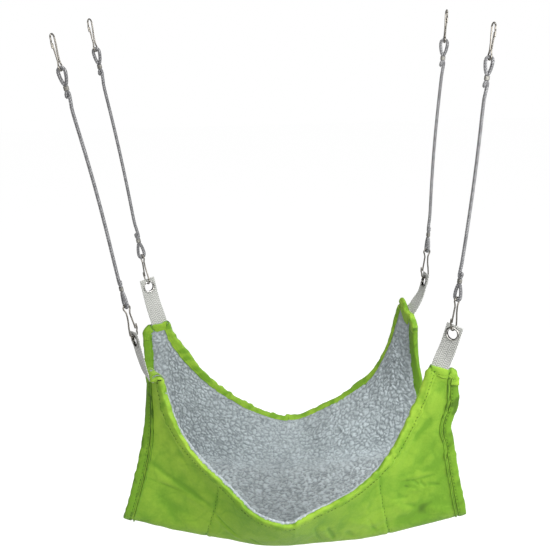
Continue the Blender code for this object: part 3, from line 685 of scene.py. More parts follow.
# %% Hang the cords and their crimps
for name, corner in CORNER.items():
    body = f"hanger_{name}"
    for end, depth in (("upper", CRIMP_MID), ("lower", corner["cord_length"] - CRIMP_MID)):
        where = (corner["hanger"] @ Matrix.Translation((0, 0, -depth))
                 @ turned(corner[end] + 90))
        rings, faces = crimp_ring()
        crimp = make_object(f"{end}_crimp_band_{name}", placed(where, rings), faces,
                            CRIMP_LOOK, body=body)
        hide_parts(f"{end}_crimp_{name}")
    run = cord_line(corner)
    line = placed(corner["hanger"], run)
    rings, height, yarn = braid(line, squeeze(corner, -run[:, 2]))
    cord = make_object(f"braided_cord_{name}", rings, capped(*rings.shape[:2]), CORD_LOOK,
                       values={"braid_height": height, "yarn": yarn}, body=body)
    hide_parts(f"cord_{name}")
    length = float(np.linalg.norm(np.diff(line, axis=0), axis=1).sum())
    print(cord.name, "is", round(length / MM), "mm of cord")

# %% [markdown]
# ## Snap hooks
# A hook is one piece of spring wire: a hooked latch, a bend that hangs on the bar, a
# stiff leg, an eye that holds the cord's loop, and a sprung gate that comes back down
# behind the latch. It is drawn flat as a row of knots, and a round wire is lofted along
# the curve through them, with a dome at each cut end.

# %% Draw the wire hook
HOOK_REACH, BEND_R, EYE_R = 0.0382, 0.0044, 0.0039
EYE_Z = HOOK_REACH - EYE_R
NECK = (0.0020, 0.0278)         # where leg and gate leave the eye
LATCH_X = BEND_R + 0.0012
GATE_X = LATCH_X - 0.0021
WIRE_STEP = 0.0006


def arc(centre, radius, start, end, steps):
    """Knots of an arc in the hook's plane, from one angle to another in degrees."""
    angle = np.radians(np.linspace(start, end, steps + 1))
    return [(centre[0] + radius * math.cos(a), 0, centre[1] + radius * math.sin(a))
            for a in angle]


def rounded_rod(line, radius, around=16):
    """A round wire along a line with domed ends."""
    line = np.asarray(line, float)
    ahead = unit(line[1] - line[0]), unit(line[-1] - line[-2])
    dome = np.radians([85, 62, 40, 20])
    start = [line[0] - ahead[0] * radius * math.sin(a) for a in dome]
    end = [line[-1] + ahead[1] * radius * math.sin(a) for a in dome[::-1]]
    whole = np.vstack([start, line, end])
    width = np.concatenate([radius * np.cos(dome), np.full(len(line), radius),
                            radius * np.cos(dome[::-1])])
    return tube_points(whole, width[:, None], around)


hook_knots = ([(LATCH_X + 0.0001, 0, 0.0136), (LATCH_X, 0, 0.0110), (LATCH_X - 0.0001, 0, 0.0088),
               (BEND_R + 0.0001, 0, 0.0060)]
              + arc((0, BEND_R), BEND_R, 0, -180, 14)
              + [(-0.0036, 0, 0.0120), (-0.0023, 0, 0.0200), (-NECK[0], 0, NECK[1])]
              + arc((0, EYE_Z), EYE_R, 218, -38, 20) + [(NECK[0], 0, NECK[1])])
gate_knots = [(NECK[0], 0, NECK[1]), (0.0027, 0, 0.0200), (GATE_X - 0.0001, 0, 0.0134),
              (GATE_X, 0, 0.0122), (GATE_X, 0, 0.0098)]
print("hook knots", len(hook_knots), "gate knots", len(gate_knots))

# %% [markdown]
# Eight hooks are bent from that one drawing. The four upper frames are the part's fixed
# root, the lower ones ride on their hangers. Each gate rides on a body of its own, since
# it is what moves. Some hooks are mirrored, so that the gate is on their other side.

# %% Bend the wire hooks
for name, corner in CORNER.items():
    for end, side, body in (("upper", 1, "upper_hooks"), ("lower", corner["gate"],
                                                          f"hanger_{name}")):
        mirror = Matrix.Scale(side, 4, (1, 0, 0))
        for part, knots, rides, finish in (
                ("hook", hook_knots, body, "polished_wire"),
                ("gate", gate_knots, f"{end}_gate_{name}", "gate_wire")):
            rings = rounded_rod(smooth_curve(knots, WIRE_STEP), WIRE_R)
            wire = make_object(f"{end}_{part}_wire_{name}",
                               placed(corner[f"{end}_hook"] @ mirror, rings),
                               capped(*rings.shape[:2]), STEEL, body=rides)
            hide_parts(f"{end}_{part}_{name}")
print("hooks bent:", 2 * len(CORNER))

# %% [markdown]
# ## The sling's surface
# The sling is one cloth: a floor, two leaning walls with a deep curved cut in each, and
# four horns that the straps pull up. The formulas below are those of the CAD model, but
# on a fine grid. The first thing to draw is the line of the top edge, seen from in front.

# %% Draw the line of the top edge
# x runs across the sling from its middle, z goes up from the horns' tops
HORN_X, HORN_OUTER_X, CUT_X = 0.1630, 0.1830, 0.1500    # horn's middle and side, cut's start
FLOOR_X, WALL_Y, FLOOR_Z = 0.1975, 0.1000, -0.2150      # the floor's half sizes and height
CUT_DEPTH, CUT_START = 0.1610, 0.0050
CREASE_CUT = 0.0140    # the bend between wall and floor starts this far from their corner


def bezier(points, t):
    """A point of the curve that four points steer, for t from 0 to 1."""
    a, b, c, d = points
    return a * (1 - t) ** 3 + 3 * b * t * (1 - t) ** 2 + 3 * c * t ** 2 * (1 - t) + d * t ** 3


def cut_corners(points, rounds):
    """Each corner of a path is cut off a few times, which rounds it."""
    for _ in range(rounds):
        near = points[:-1] * 0.75 + points[1:] * 0.25
        far = points[:-1] * 0.25 + points[1:] * 0.75
        inner = np.stack([near, far], axis=1).reshape(-1, 2)[1:-1]
        points = np.vstack([points[:1], inner, points[-1:]])
    return points


def evenly(points, count):
    """Points evenly spaced along a path, and the path's length."""
    step = np.linalg.norm(np.diff(points, axis=0), axis=1)
    along = np.concatenate([[0], np.cumsum(step)])
    wanted = np.linspace(0, along[-1], count)
    return np.stack([np.interp(wanted, along, axis) for axis in points.T], axis=-1), along[-1]


def top_path(count):
    """Top points (x, z) of the columns, from the left horn's corner to the right's."""
    t = np.linspace(0, 1, 80)
    drop = CUT_DEPTH - CUT_START
    cut = np.stack([bezier((0, CUT_X * 0.37, CUT_X * 0.90, CUT_X), t),
                    bezier((-CUT_DEPTH, -CUT_DEPTH, -CUT_DEPTH + drop * 0.54, -CUT_START), t)],
                   axis=-1)
    shoulder = [(HORN_X - 0.010, 0), (HORN_X, 0), (HORN_X + 0.010, -0.00175),
                (HORN_X + 0.0165, -0.0070), (HORN_OUTER_X, -0.0140)]
    half = cut_corners(np.vstack([cut[:-4], cut[-1:], shoulder]), 3)
    return evenly(np.vstack([(half * (-1, 1))[:0:-1], half]), count)[0]


print("the cut goes down to", round(float(top_path(99)[:, 1].min()), 3), "m")

# %% [markdown]
# Real cloth hangs less evenly than a formula. In the photograph the two top edges rise
# and dip by some millimetres, the front wall's foot sags, each wall is hollow between horn
# and floor, and the left end is drawn in. A table of these differences keeps the formula
# simple, and easing between its numbers keeps the cloth smooth.

# %% Write down how the real edges differ
# In mm, at places across the sling, how far the edges and the foot lie above the formula's
EDGE_LIFT = {
    -1: [(-183, 0), (-165, 2), (-151, 5), (-135, 1), (-117, -3), (-97, -4), (-76, -5), (-66, -7),
         (-52, -9.5), (-42, -8), (-26, -5), (-10, -4), (2, 1), (14, 5), (24, 6), (46, 3),
         (66, -2.5), (80, -5.5), (97, -10), (110, -8.5), (119, -7.5), (128, 0), (140, 4),
         (148, 5), (165, 2), (183, 0)],
    1: [(-183, -7), (-153, -6), (-143, 2), (-132, 12), (-72, 10), (-40, 6), (-6, -1), (18, -4),
        (45, 0), (91, -4.5), (110, -12), (125, -12.3), (142, -21.6), (160, 2), (183, 0)],
}
FOOT_LIFT = [(-183, 0), (-90, -1), (-66, -2), (-46, -5), (-26, -4), (-10, -1.5), (20, -1),
             (46, -3), (70, -5), (183, -6)]
# How far a wall's side is hollowed, for each side and depth of the sling
WALL_HOLLOW = {(-1, -1): 0.0140, (-1, 1): 0.0020, (1, -1): 0.0095, (1, 1): 0.0130}
# How far the floor's left edge is drawn in at the foot and at the middle line
FLOOR_NARROW = {(-1, -1): (0.0, 0.011), (-1, 1): (0.017, 0.011)}


def eased(table, x):
    """A table's value at one place, eased over 20 mm."""
    table = np.array(table) * MM
    around = x + np.linspace(-0.010, 0.010, 9)
    return float(np.interp(around, table[:, 0], table[:, 1]).mean())


def edge_lift(x, depth):
    """The lift of a top edge; the front right one dips where its strap comes out."""
    lift = eased(EDGE_LIFT[depth], x)
    if depth == -1 and x > 0:
        lift += 0.0012 - 0.0034 * math.exp(-((x - HORN_X) / 0.0105) ** 8)
    return lift


print("lift of the front edge's middle", round(edge_lift(0.0, -1) / MM, 1), "mm")

# %% [markdown]
# A horn is a corner of a wall that its strap pulls up and turns towards its cord. The
# turn is strongest at the top and fades down the wall. The front left horn is gathered
# and rolls over at its top, and the back right one is drawn out into a tall ear.

# %% Turn the horns
CURL_R, CURL_LIFT = 0.0042, 0.0052    # radius of the roll, and how far the cloth rises first
EAR_IN, EAR_UP = 0.0134, 0.0536       # how far an ear leans in and rises
EAR_FADE, PINCH = 0.025, 0.010


def horn_shape(points, corner):
    """Turns, pinches, lifts and curls a horn as its strap pulls it, fading down the wall."""
    hold = smoothstep(1 + points[..., 2] / corner["reach"])
    axis = np.array([corner["side"] * HORN_X, corner["depth"] * WALL_Y, 0])
    away = points - axis
    inward = smoothstep(-corner["side"] * away[..., 0] / EAR_FADE)
    away[..., 0] -= corner["side"] * EAR_IN * corner["ear"] * inward * hold ** 2
    if corner["curl"]:
        away[..., 2] += CURL_LIFT * hold
        start = CURL_LIFT - CURL_R * math.radians(corner["curl"])
        turn = np.clip((away[..., 2] - start) / CURL_R, 0, None)
        away[..., 1] += corner["depth"] * CURL_R * (1 - np.cos(turn))
        away[..., 2] = np.where(turn > 0, start + CURL_R * np.sin(turn), away[..., 2])
    angle = math.radians(corner["horn"]) * hold
    x = away[..., 0] * np.cos(angle) - away[..., 1] * np.sin(angle)
    y = away[..., 0] * np.sin(angle) + away[..., 1] * np.cos(angle)
    x = x - corner["side"] * PINCH * corner["pinch"] * hold
    z = away[..., 2] + corner["ear"] * EAR_UP * inward * hold ** 2
    return axis + np.stack([x, y, z], axis=-1)


print("horns turn", [corner["horn"] for corner in CORNER.values()], "degrees")

# %% [markdown]
# Under each top point a line runs down the wall, round the bend at its foot and over
# the floor to the middle line. The walls lean out most in the middle of the cut and swell
# a little, the floor rises at its ends, and the horn's turn is put on last.

# %% Draw a line down a wall and over the floor
LEAN, END_RISE = 0.055, 0.036    # how far the walls lean out, how high the floor's ends rise
SWELL, FLOOR_SAG = 0.0035, 0.004
# The front right side bulges and then dips: push, height and half width of each
BULGES = ((0.0045, -0.040, 0.016), (-0.003, -0.072, 0.012))


def wall_line(top, downs, sag=0.0, hollow=0.013):
    """Points of the right front wall under a top point (x, z), downs metres below it."""
    x, z = top
    low = min(-z / CUT_DEPTH, 1.0)
    edge_y = WALL_Y + LEAN * low ** 2 * (1 - (x / HORN_OUTER_X) ** 2)
    foot_x = x * FLOOR_X / HORN_OUTER_X
    head = np.array([x, -edge_y, z])
    foot_z = FLOOR_Z + sag + END_RISE * min(foot_x / FLOOR_X, 1) ** 1.7
    foot = np.array([foot_x, -WALL_Y, foot_z])
    length = np.linalg.norm(foot - head)
    downs = np.linspace(0, length - CREASE_CUT, 90) if downs is None else np.asarray(downs)
    share = (1 - downs / length)[:, None]
    points = foot + (head - foot) * share
    swell = 4 * share[:, 0] * (1 - share[:, 0])
    points[:, 0] -= hollow * swell * (0.55 + 0.9 * share[:, 0]) * (x / HORN_OUTER_X) ** 2
    points[:, 1] -= SWELL * swell
    return points, foot


def corner_at(side, depth):
    """The corner on a side and at a depth."""
    return next(c for c in CORNER.values() if (c["side"], c["depth"]) == (side, depth))


def half_section(top, side, depth):
    """From the floor's middle line out and up to the top edge of one wall."""
    sag = eased(FOOT_LIFT, side * top[0]) if depth == -1 else 0.0
    wall, foot = wall_line((top[0], top[1] + edge_lift(side * top[0], depth)), None, sag,
                           WALL_HOLLOW[side, depth])
    t = np.linspace(0, 1, 12)[:, None]
    share = (top[0] / HORN_OUTER_X) ** 2
    at_foot, at_middle = (share * value for value in FLOOR_NARROW.get((side, depth), (0, 0)))
    wall[:, 0] -= at_foot * np.linspace(0, 1, len(wall)) ** 1.5
    foot = foot - (at_foot, 0, 0)
    inner = foot + (0, CREASE_CUT, 0)
    bend = inner * (1 - t) ** 2 + 2 * foot * t * (1 - t) + wall[-1] * t ** 2
    floor = np.repeat(foot[None], 50, axis=0)
    floor[:, 1] = np.linspace(0, inner[1], 50)
    floor[:, 2] -= (FLOOR_SAG + sag) * (1 - (floor[:, 1] / inner[1]) ** 2)
    floor[:, 0] += (at_foot - at_middle) * (1 - smoothstep(floor[:, 1] / inner[1]))
    points = np.vstack([floor[:-1], bend, wall[::-1][1:]]) * (side, -depth, 1)
    if (side, depth) == (1, -1):
        push = sum(most * np.exp(-((points[:, 2] - z) / half) ** 2) for most, z, half in BULGES)
        points[:, 0] += push * (top[0] / HORN_OUTER_X) ** 8
    return horn_shape(points, corner_at(side, depth))


print("a wall and half the floor:", half_section((0.0, -CUT_DEPTH), 1, -1).shape, "points")

# %% [markdown]
# Columns now run across the sling from front edge to back edge, one beside the other, and
# each is measured along the cloth, which gives the UV map in metres. The grid is the
# middle of the cloth: the outer ply lies a little outside it, the fleece inside, and the
# gap between the two is widest at the horns, where a strap is sewn in.

# %% Lay out the sling's grid
def sling_grid(columns, rows):
    """Points [column][row] of the cloth's middle, and how far along the cloth each is."""
    points, along = [], []
    for x, z in top_path(columns):
        side = 1 if x >= 0 else -1
        front = half_section((abs(x), z), side, -1)
        back = half_section((abs(x), z), side, 1)
        line, length = evenly(np.vstack([front[::-1], back[1:]]), rows)
        reach = np.linalg.norm(np.diff(front, axis=0), axis=1).sum()
        points.append(line)
        along.append(np.stack([np.full(rows, x * FLOOR_X / HORN_OUTER_X),
                               np.linspace(-reach, length - reach, rows)], axis=-1))
    return np.array(points), np.array(along)


def grid_normals(points):
    """Unit normals that point out of the sling, away from its lining."""
    return unit(np.cross(np.gradient(points, axis=1), np.gradient(points, axis=0)))


GAP_HIGH, GAP_LOW = 0.0011, 0.00015


def pocket(points):
    """Half the gap between the plies: wide where a strap is sewn in, shut lower down."""
    share = smoothstep((-points[..., 2] - 0.026) / 0.045)
    return (GAP_HIGH + (GAP_LOW - GAP_HIGH) * share)[..., None]


def edge_of(points):
    """The points all round a grid's border, once."""
    return np.vstack([points[:, 0], points[-1, 1:], points[-2::-1, -1], points[0, -2:0:-1]])


def edge_distance(points):
    """How far each point of a grid is from the grid's border."""
    border = edge_of(points)[::2]
    flat = points.reshape(-1, 3)
    near = [np.sqrt(((part[:, None] - border) ** 2).sum(-1).min(1))
            for part in np.array_split(flat, 60)]
    return np.concatenate(near).reshape(points.shape[:2])


grid, cloth = sling_grid(265, 345)
normals = grid_normals(grid)
from_edge = edge_distance(grid)
patches = np.cross(np.diff(grid[:, :-1], axis=0), np.diff(grid[:-1], axis=1))

# %% [markdown]
# ## The lime outer cloth
# Cloth under tension is never a clean surface: it pulls into folds that fan out from
# where it is held, and it puckers beside every seam. Two helpers come first: one for
# slow, smooth unevenness that is the same on every run, and one for a single fold.

# %% Helpers for folds
def scatter(a, b, seed):
    """A number from 0 to 1 that looks random but is always the same for a and b."""
    return np.modf(np.abs(np.sin(a * 127.1 + b * 311.7 + seed * 74.7) * 43758.5453))[0]


def slow_noise(u, v, size, seed):
    """Smooth bumps from 0 to 1, about size apart."""
    a, b = u / size, v / size
    low_a, low_b = np.floor(a), np.floor(b)
    s, t = smoothstep(a - low_a), smoothstep(b - low_b)
    near = scatter(low_a, low_b, seed) * (1 - s) + scatter(low_a + 1, low_b, seed) * s
    far = scatter(low_a, low_b + 1, seed) * (1 - s) + scatter(low_a + 1, low_b + 1, seed) * s
    return near * (1 - t) + far * t


def fold_line(cloth, start, end, width, height, bend=0.0):
    """One fold: a rounded ridge from start to end on the cloth that dies out at its ends."""
    start, end = np.array(start) * MM, np.array(end) * MM
    length = np.linalg.norm(end - start)
    ahead = (end - start) / length
    rest = cloth - start
    along = rest @ ahead / length
    off = rest @ np.array([-ahead[1], ahead[0]])
    off = off - bend * MM * np.sin(math.pi * np.clip(along, 0, 1))
    fade = smoothstep(along / 0.3) * smoothstep((1 - along) / 0.3)
    return height * MM * fade * np.exp(-(off / (width * MM)) ** 2)


print("fold helpers ready")

# %% [markdown]
# Each fold is a line on the cloth with a width and a height, placed where the photograph
# shows one or, behind and below, where the pull of a strap would make one. The two panel
# seams are shallow grooves, each with a ridge of turned cloth beside it. The heights will
# be added along the normals, and deep dips are limited so that no fold cuts the lining.

# %% Write down the folds and seams
# From and to on the cloth in mm (across, along; the front wall is along < -105), then
# width, height and how far the fold bends aside, in mm too
FOLDS = [
    ((-186, -182), (-98, -144), 2.4, -1.6, 3), ((-184, -174), (-98, -137), 5.0, 1.5, 3),
    ((-188, -158), (-106, -147), 1.3, -0.9, 0), ((-103, -142), (-64, -115), 2.0, -1.3, 1),
    ((-99, -136), (-60, -110), 4.0, 1.1, 1), ((-176, -262), (-132, -196), 6.0, 1.3, -6),
    ((-172, -240), (-126, -170), 4.0, -1.1, -4), ((-150, -205), (-112, -160), 7.0, 1.2, 2),
    ((-176, -150), (-128, -112), 8.0, -1.3, 0), ((-150, -128), (-110, -106), 6.0, 1.2, 0),
    ((122, -167), (176, -161), 1.5, -0.8, 3), ((124, -171), (172, -165), 2.6, 0.6, 3),
    ((130, -160), (148, -150), 1.6, -1.1, 1), ((140, -163), (150, -152), 1.4, -1.0, -1),
    ((150, -160), (158, -148), 1.6, -1.0, 1), ((136, -156), (154, -146), 3.0, 0.7, 2),
    ((156, -154), (176, -146), 2.0, -0.9, 1), ((120, -150), (138, -142), 2.2, -0.8, 1),
    ((126, -138), (146, -126), 2.4, -0.8, 0), ((108, -116), (176, -128), 11.0, -0.8, 4),
    ((112, -150), (140, -118), 5.0, 1.1, 2), ((150, -124), (186, -104), 6.0, 1.3, 0),
    ((176, -262), (136, -200), 6.0, 1.2, 6), ((178, -236), (130, -186), 4.0, -1.1, 4),
    ((150, -214), (114, -176), 7.0, 1.2, 2), ((20, -158), (30, -112), 2.0, -1.2, 2),
    ((30, -150), (40, -108), 3.0, 1.0, 2), ((36, -146), (46, -110), 2.0, -1.2, 1),
    ((84, -140), (96, -108), 2.0, -1.2, 1), ((-30, -150), (-22, -106), 5.0, 1.0, 2),
    ((-58, -128), (-34, -110), 2.4, -1.1, 1), ((58, -128), (70, -108), 3.4, -1.0, 1),
    ((58, -146), (104, -120), 6.0, 0.9, 3), ((-178, 215), (-120, 130), 6.0, 1.5, 5),
    ((-168, 245), (-112, 160), 4.0, -1.2, 3), ((178, 215), (120, 130), 6.0, 1.5, -5),
    ((168, 245), (112, 160), 4.0, -1.2, -3), ((-150, 150), (-104, 110), 6.0, 1.2, 3),
    ((150, 150), (106, 112), 6.0, 1.2, 3), ((-185, 60), (-120, 90), 6.0, 1.2, 3),
    ((185, 60), (120, 90), 6.0, 1.2, 3), ((-185, -60), (-120, -90), 6.0, 1.2, 3),
    ((185, -60), (120, -90), 6.0, 1.2, 3), ((-60, -20), (70, 12), 9.0, 1.0, 6),
    ((-40, 70), (90, 82), 8.0, 1.0, 4), ((-90, 30), (-30, 50), 7.0, -1.0, 3),
]


# Side, and how far from the middle: at the front wall's top, and from its foot on
SEAMS = ((-1, 0.0960, 0.1045), (1, 0.1030, 0.1090))
DEEPEST = 0.0014


def seam_place(high, low, v):
    """How far from the middle a panel seam runs at a place along the cloth."""
    return high + (low - high) * np.clip((v + 0.174) / 0.071, 0, 1)


def outer_relief(cloth):
    """Height of the outer cloth's folds, seams and ripples."""
    u, v = cloth[..., 0], cloth[..., 1]
    relief = sum(fold_line(cloth, *fold) for fold in FOLDS)
    relief += 0.0016 * (slow_noise(u, v, 0.045, 3) - 0.5)
    relief += 0.0008 * (slow_noise(u * 1.3 + v * 0.4, v, 0.014, 5) - 0.5)
    for side, high, low in SEAMS:
        off = side * u - seam_place(high, low, v) + 0.0012 * (slow_noise(v, v * 0, 0.05, 9) - 0.5)
        relief -= 0.0010 * np.exp(-(off / 0.0013) ** 2)
        relief += 0.0005 * np.exp(-((off + 0.0034) / 0.0024) ** 2)
        pucker = slow_noise(v * 0 + side, v, 0.0085, 11) - 0.5
        relief += 0.0013 * pucker * np.exp(-(off / 0.009) ** 2)
    return np.where(relief < 0, -DEEPEST * np.tanh(-relief / DEEPEST), relief)


print(len(FOLDS), "folds and", len(SEAMS), "panel seams")

# %% [markdown]
# Painted shade darkens the cloth's colour in a few places, and painted light brightens a
# few others. Each is a patch with a ragged, soft edge, broken up by finer mottling so
# that it doesn't look painted on.

# %% Paint shade and light in places
# Middle and half sizes in mm on the cloth, slope, and strength of painted shade: below 0 it is
# painted light
SHADE_AND_LIGHT_PATCHES = [(3, -128, 17, 34, 0.0, 0.13), (150, -142, 44, 36, 0.35, 0.18),
         (128, -118, 18, 9, 0.2, 0.06), (97, -114, 7, 13, 0.0, 0.12),
         (166, -116, 24, 14, 0.0, 0.10), (-148, -148, 20, 15, 0.0, 0.07),
         (-72, -112, 20, 10, 0.3, 0.08), (-162, -228, 26, 62, 0.0, -0.46),
         (-112, -150, 34, 22, 0.0, -0.10)]


def painted_shade_and_light(cloth):
    """Soft-edged patches of painted shade, and of painted light where the strength is below 0."""
    u, v = cloth[..., 0] / MM, cloth[..., 1] / MM
    ragged = 8 * (slow_noise(u * MM, v * MM, 0.011, 13) - 0.5)
    total = 0.0
    for mid_u, mid_v, wide, high, slope, strength in SHADE_AND_LIGHT_PATCHES:
        rise = v - mid_v + ragged - slope * (u - mid_u)
        off = np.hypot((u - mid_u + ragged) / wide, rise / high)
        total = total + strength * smoothstep((1.5 - off) / 1.1)
    mottled = 0.55 + 0.9 * slow_noise(u * MM, v * MM, 0.0055, 15)
    return total * mottled


print(len(SHADE_AND_LIGHT_PATCHES), "patches")

# %% [markdown]
# Outer cloth and lining are closed solids, each with a seen side and a hidden one. The
# hidden side needs far fewer points, so it is a coarser grid, and a rim of faces joins the
# two. The outer cloth is pressed flat near its edges, where the bindings hold it.

# %% Sew the outer cloth
def cloth_solid(outer, inner, step):
    """Points and faces of a sheet whose inner side is a coarser grid than its outer one."""
    columns, rows = outer.shape[:2]
    column_picks, row_picks = np.arange(0, columns, step), np.arange(0, rows, step)
    coarse = inner[np.ix_(column_picks, row_picks)]
    points = np.vstack([outer.reshape(-1, 3), coarse.reshape(-1, 3)])
    wide, start = len(row_picks), columns * rows
    faces = loft_faces(columns, rows, False).tolist()
    faces += (loft_faces(len(column_picks), wide, False)[:, ::-1] + start).tolist()
    for c, k in ((0, 0), (columns - 1, len(column_picks) - 1)):
        for j, r in enumerate(row_picks[:-1]):
            rim = [c * rows + r + i for i in range(step + 1)]
            faces.append(rim + [start + k * wide + j + 1, start + k * wide + j])
    for r, k in ((0, 0), (rows - 1, wide - 1)):
        for j, c in enumerate(column_picks[:-1]):
            rim = [(c + i) * rows + r for i in range(step + 1)]
            faces.append(rim + [start + (j + 1) * wide + k, start + j * wide + k])
    return points, faces


def both_sides(values, step):
    """Values per point of the outer grid, then of the coarse inner one."""
    width = values.shape[2:] or (1,)
    return np.vstack([values.reshape(-1, *width), values[::step, ::step].reshape(-1, *width)])


SHELL_T = 0.0012
BACK_STEP = 4     # the hidden side has every fourth point
held = smoothstep((from_edge - 0.001) / 0.014)
relief = outer_relief(cloth) * held
outside = grid + normals * (pocket(grid) + SHELL_T + relief[..., None])
inside = grid + normals * (pocket(grid) + np.minimum(relief, 0)[..., None])
points, faces = cloth_solid(outside, inside, BACK_STEP)
# Painted shade: the colour darkens where a fold dips in, plus the patches of painted shade and
# light
dark = np.clip(-relief / 0.0018, 0, 0.6) + painted_shade_and_light(cloth)
outer_cloth = make_object("lime_outer_cloth", placed(SLING, points), faces, LIME_FABRIC,
                          uv=both_sides(cloth, BACK_STEP),
                          values={"fold": both_sides(dark, BACK_STEP)}, body="sling")
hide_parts("outer_shell")
print("relief from", round(relief.min() / MM, 2), "to", round(relief.max() / MM, 2), "mm")

# %% [markdown]
# ## The fleece lining
# Sherpa pile curls into small round tufts. Cells about 5 mm across are laid over the
# cloth, each with its own jittered middle, and the pile stands highest in a cell's
# middle and falls away towards its borders.

# %% Helper for tufts
def tufts(u, v, size, seed):
    """Height from 0 to 1 of round tufts about size apart."""
    a, b = u / size, v / size
    low_a, low_b = np.floor(a), np.floor(b)
    nearest, second = np.full(a.shape, 9.0), np.full(a.shape, 9.0)
    for da in (-1, 0, 1):
        for db in (-1, 0, 1):
            i, j = low_a + da, low_b + db
            gap = np.hypot(a - i - scatter(i, j, seed), b - j - scatter(i, j, seed + 1))
            second = np.minimum(second, np.maximum(nearest, gap))
            nearest = np.minimum(nearest, gap)
    round_top = 1 - 0.45 * np.clip(nearest, 0, 1) ** 2
    return np.clip((second - nearest) / 0.46, 0, 1) ** 0.7 * round_top


print("tuft heights", np.round(tufts(np.linspace(0, 3, 4), np.zeros(4), 1.0, 1), 2))

# %% [markdown]
# A finer grid than the outer cloth's carries the pile. The tufts wander a little off
# their cells, so no rows show. On the floor they lie over in long, soft curls, and smaller
# tufts between the large ones give the uneven trim of real sherpa.

# %% Raise the pile
TUFT = 0.0053

fine_grid, fine_cloth = sling_grid(361, 481)
fine_normals = grid_normals(fine_grid)
u, v = fine_cloth[..., 0], fine_cloth[..., 1]
wander = [0.0050 * (slow_noise(u, v, 0.0048, seed) - 0.5)
          + 0.0016 * (slow_noise(u, v, 0.0021, seed + 5) - 0.5) for seed in (21, 22)]
low = smoothstep((0.120 - np.abs(v)) / 0.045)
flat_u, flat_v = u * 0.78, v * 0.50
turned_u = np.minimum(u, 0.09) + 0.80 * np.maximum(u - 0.09, 0)
pile = tufts(turned_u + wander[0], v + wander[1], TUFT, 1) * (1 - low)
pile += tufts(flat_u + wander[0], flat_v + wander[1], TUFT, 6) * low
small_u, small_v = turned_u * (1.6 - 0.4 * low), v * (1.6 - 0.7 * low)
pile = 0.74 * pile + 0.26 * tufts(small_u + wander[1], small_v + 1, TUFT, 4)
pile *= 0.88 + 0.24 * slow_noise(u, v, 0.0042, 27)
pile *= 0.84 + 0.30 * slow_noise(u, v, 0.012, 28)
print("pile from", round(float(pile.min()), 2), "to", round(float(pile.max()), 2))

# %% [markdown]
# The pile is pressed flat under the bindings, which hide more of it near the horns, and
# the whole knit lifts and sinks a little, as a soft layer does over a seam. Where a fold
# of the outer cloth dips in, the hidden side of the fleece makes room for it.

# %% Lay the fleece lining
TUFT_DEEP, FLEECE_BASE = 0.0026, 0.0022
FLEECE_STEP = 5     # the hidden side has every fifth point

tucked = np.exp(-((u - 0.176) / 0.014) ** 4) * smoothstep((v - v[:, -1:] + 0.026) / 0.006)
covered = 0.0055 + 0.0030 * smoothstep((np.abs(u) - 0.080) / 0.065) + 0.0062 * tucked
covered -= 0.0040 * np.exp(-((u - 0.1425) / 0.022) ** 4) * (v > 0)
pressed = smoothstep((edge_distance(fine_grid) - covered) / 0.004)[..., None]
soft_fold = (0.0016 * (slow_noise(u, v, 0.030, 31) - 0.5)
             + 0.0010 * (slow_noise(u, v, 0.012, 32) - 0.5))
relief_in = np.minimum(outer_relief(fine_cloth), 0) * (pressed[..., 0] > 0)
height = FLEECE_BASE + (TUFT_DEEP * pile + soft_fold + 0.0004)[..., None] * pressed
fleece_top = fine_grid - fine_normals * (pocket(fine_grid) + height)
fleece_back = fine_grid - fine_normals * (pocket(fine_grid) - relief_in[..., None] * pressed)
# Painted shade: the colour's value is the pile's height, darker over the floor and where the pile
# is pressed under the bindings
pile_painted_shade = (0.5 + (pile - 0.5) * (1 + 0.3 * low) - 0.10 * low) * (0.4 + 0.6 * pressed[..., 0])
points, faces = cloth_solid(fleece_top, fleece_back, FLEECE_STEP)
lining = make_object("sherpa_lining", placed(SLING, points), faces, FLEECE,
                     uv=both_sides(fine_cloth, FLEECE_STEP),
                     values={"pile": both_sides(pile_painted_shade, FLEECE_STEP)},
                     body="sling")
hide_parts("fleece_lining")
print("fleece points", len(points))

# %% [markdown]
# ## Bindings and hems
# The raw edges of cloth and fleece are closed in a folded strip of the same lime cloth,
# up to 10 mm wide on both faces, and sewn through near its free edge. A distance in from
# the edge has to be measured over the cloth, so a point glides over it in short steps,
# square to the edge.

# %% Glide in from an edge
GLIDE_STEP, EDGE_STEP = 0.0026, 0.0016

surface = BVHTree.FromPolygons([tuple(p) for p in outside.reshape(-1, 3)],
                               loft_faces(*outside.shape[:2], False).tolist())


def glide(edge, into, face, reach):
    """A point reach metres in from an edge point over the outer cloth, and its normal."""
    steps = max(1, math.ceil(reach / GLIDE_STEP))
    place, normal = Vector(edge), Vector(face)
    for _ in range(steps):
        place, way, *_ = surface.find_nearest(place + Vector(into) * (reach / steps))
        normal = way if way.dot(normal) > 0 else -way
        into = Vector(into)
        into = (into - normal * into.dot(normal)).normalized()
    return np.array(place), np.array(normal)


def edge_frames(middle, near, face, across):
    """Even places along an edge: point, way in, face normal, place across, way along."""
    step = np.linalg.norm(np.diff(middle, axis=0), axis=1)
    along = np.concatenate([[0], np.cumsum(step)])
    wanted = np.linspace(0, along[-1], round(along[-1] / EDGE_STEP))
    blocks = [np.stack([np.interp(wanted, along, axis) for axis in block.T], axis=-1)
              for block in (middle, near, face, across[:, None])]
    tangent = unit(np.gradient(blocks[0], axis=0))
    face = unit(blocks[2])
    into = np.cross(face, tangent)
    into *= np.sign(np.einsum("ij,ij->i", into, blocks[1] - blocks[0]))[:, None]
    return blocks[0], unit(into), face, blocks[3][:, 0], wanted


print("edge points are", round(EDGE_STEP / MM, 1), "mm apart")

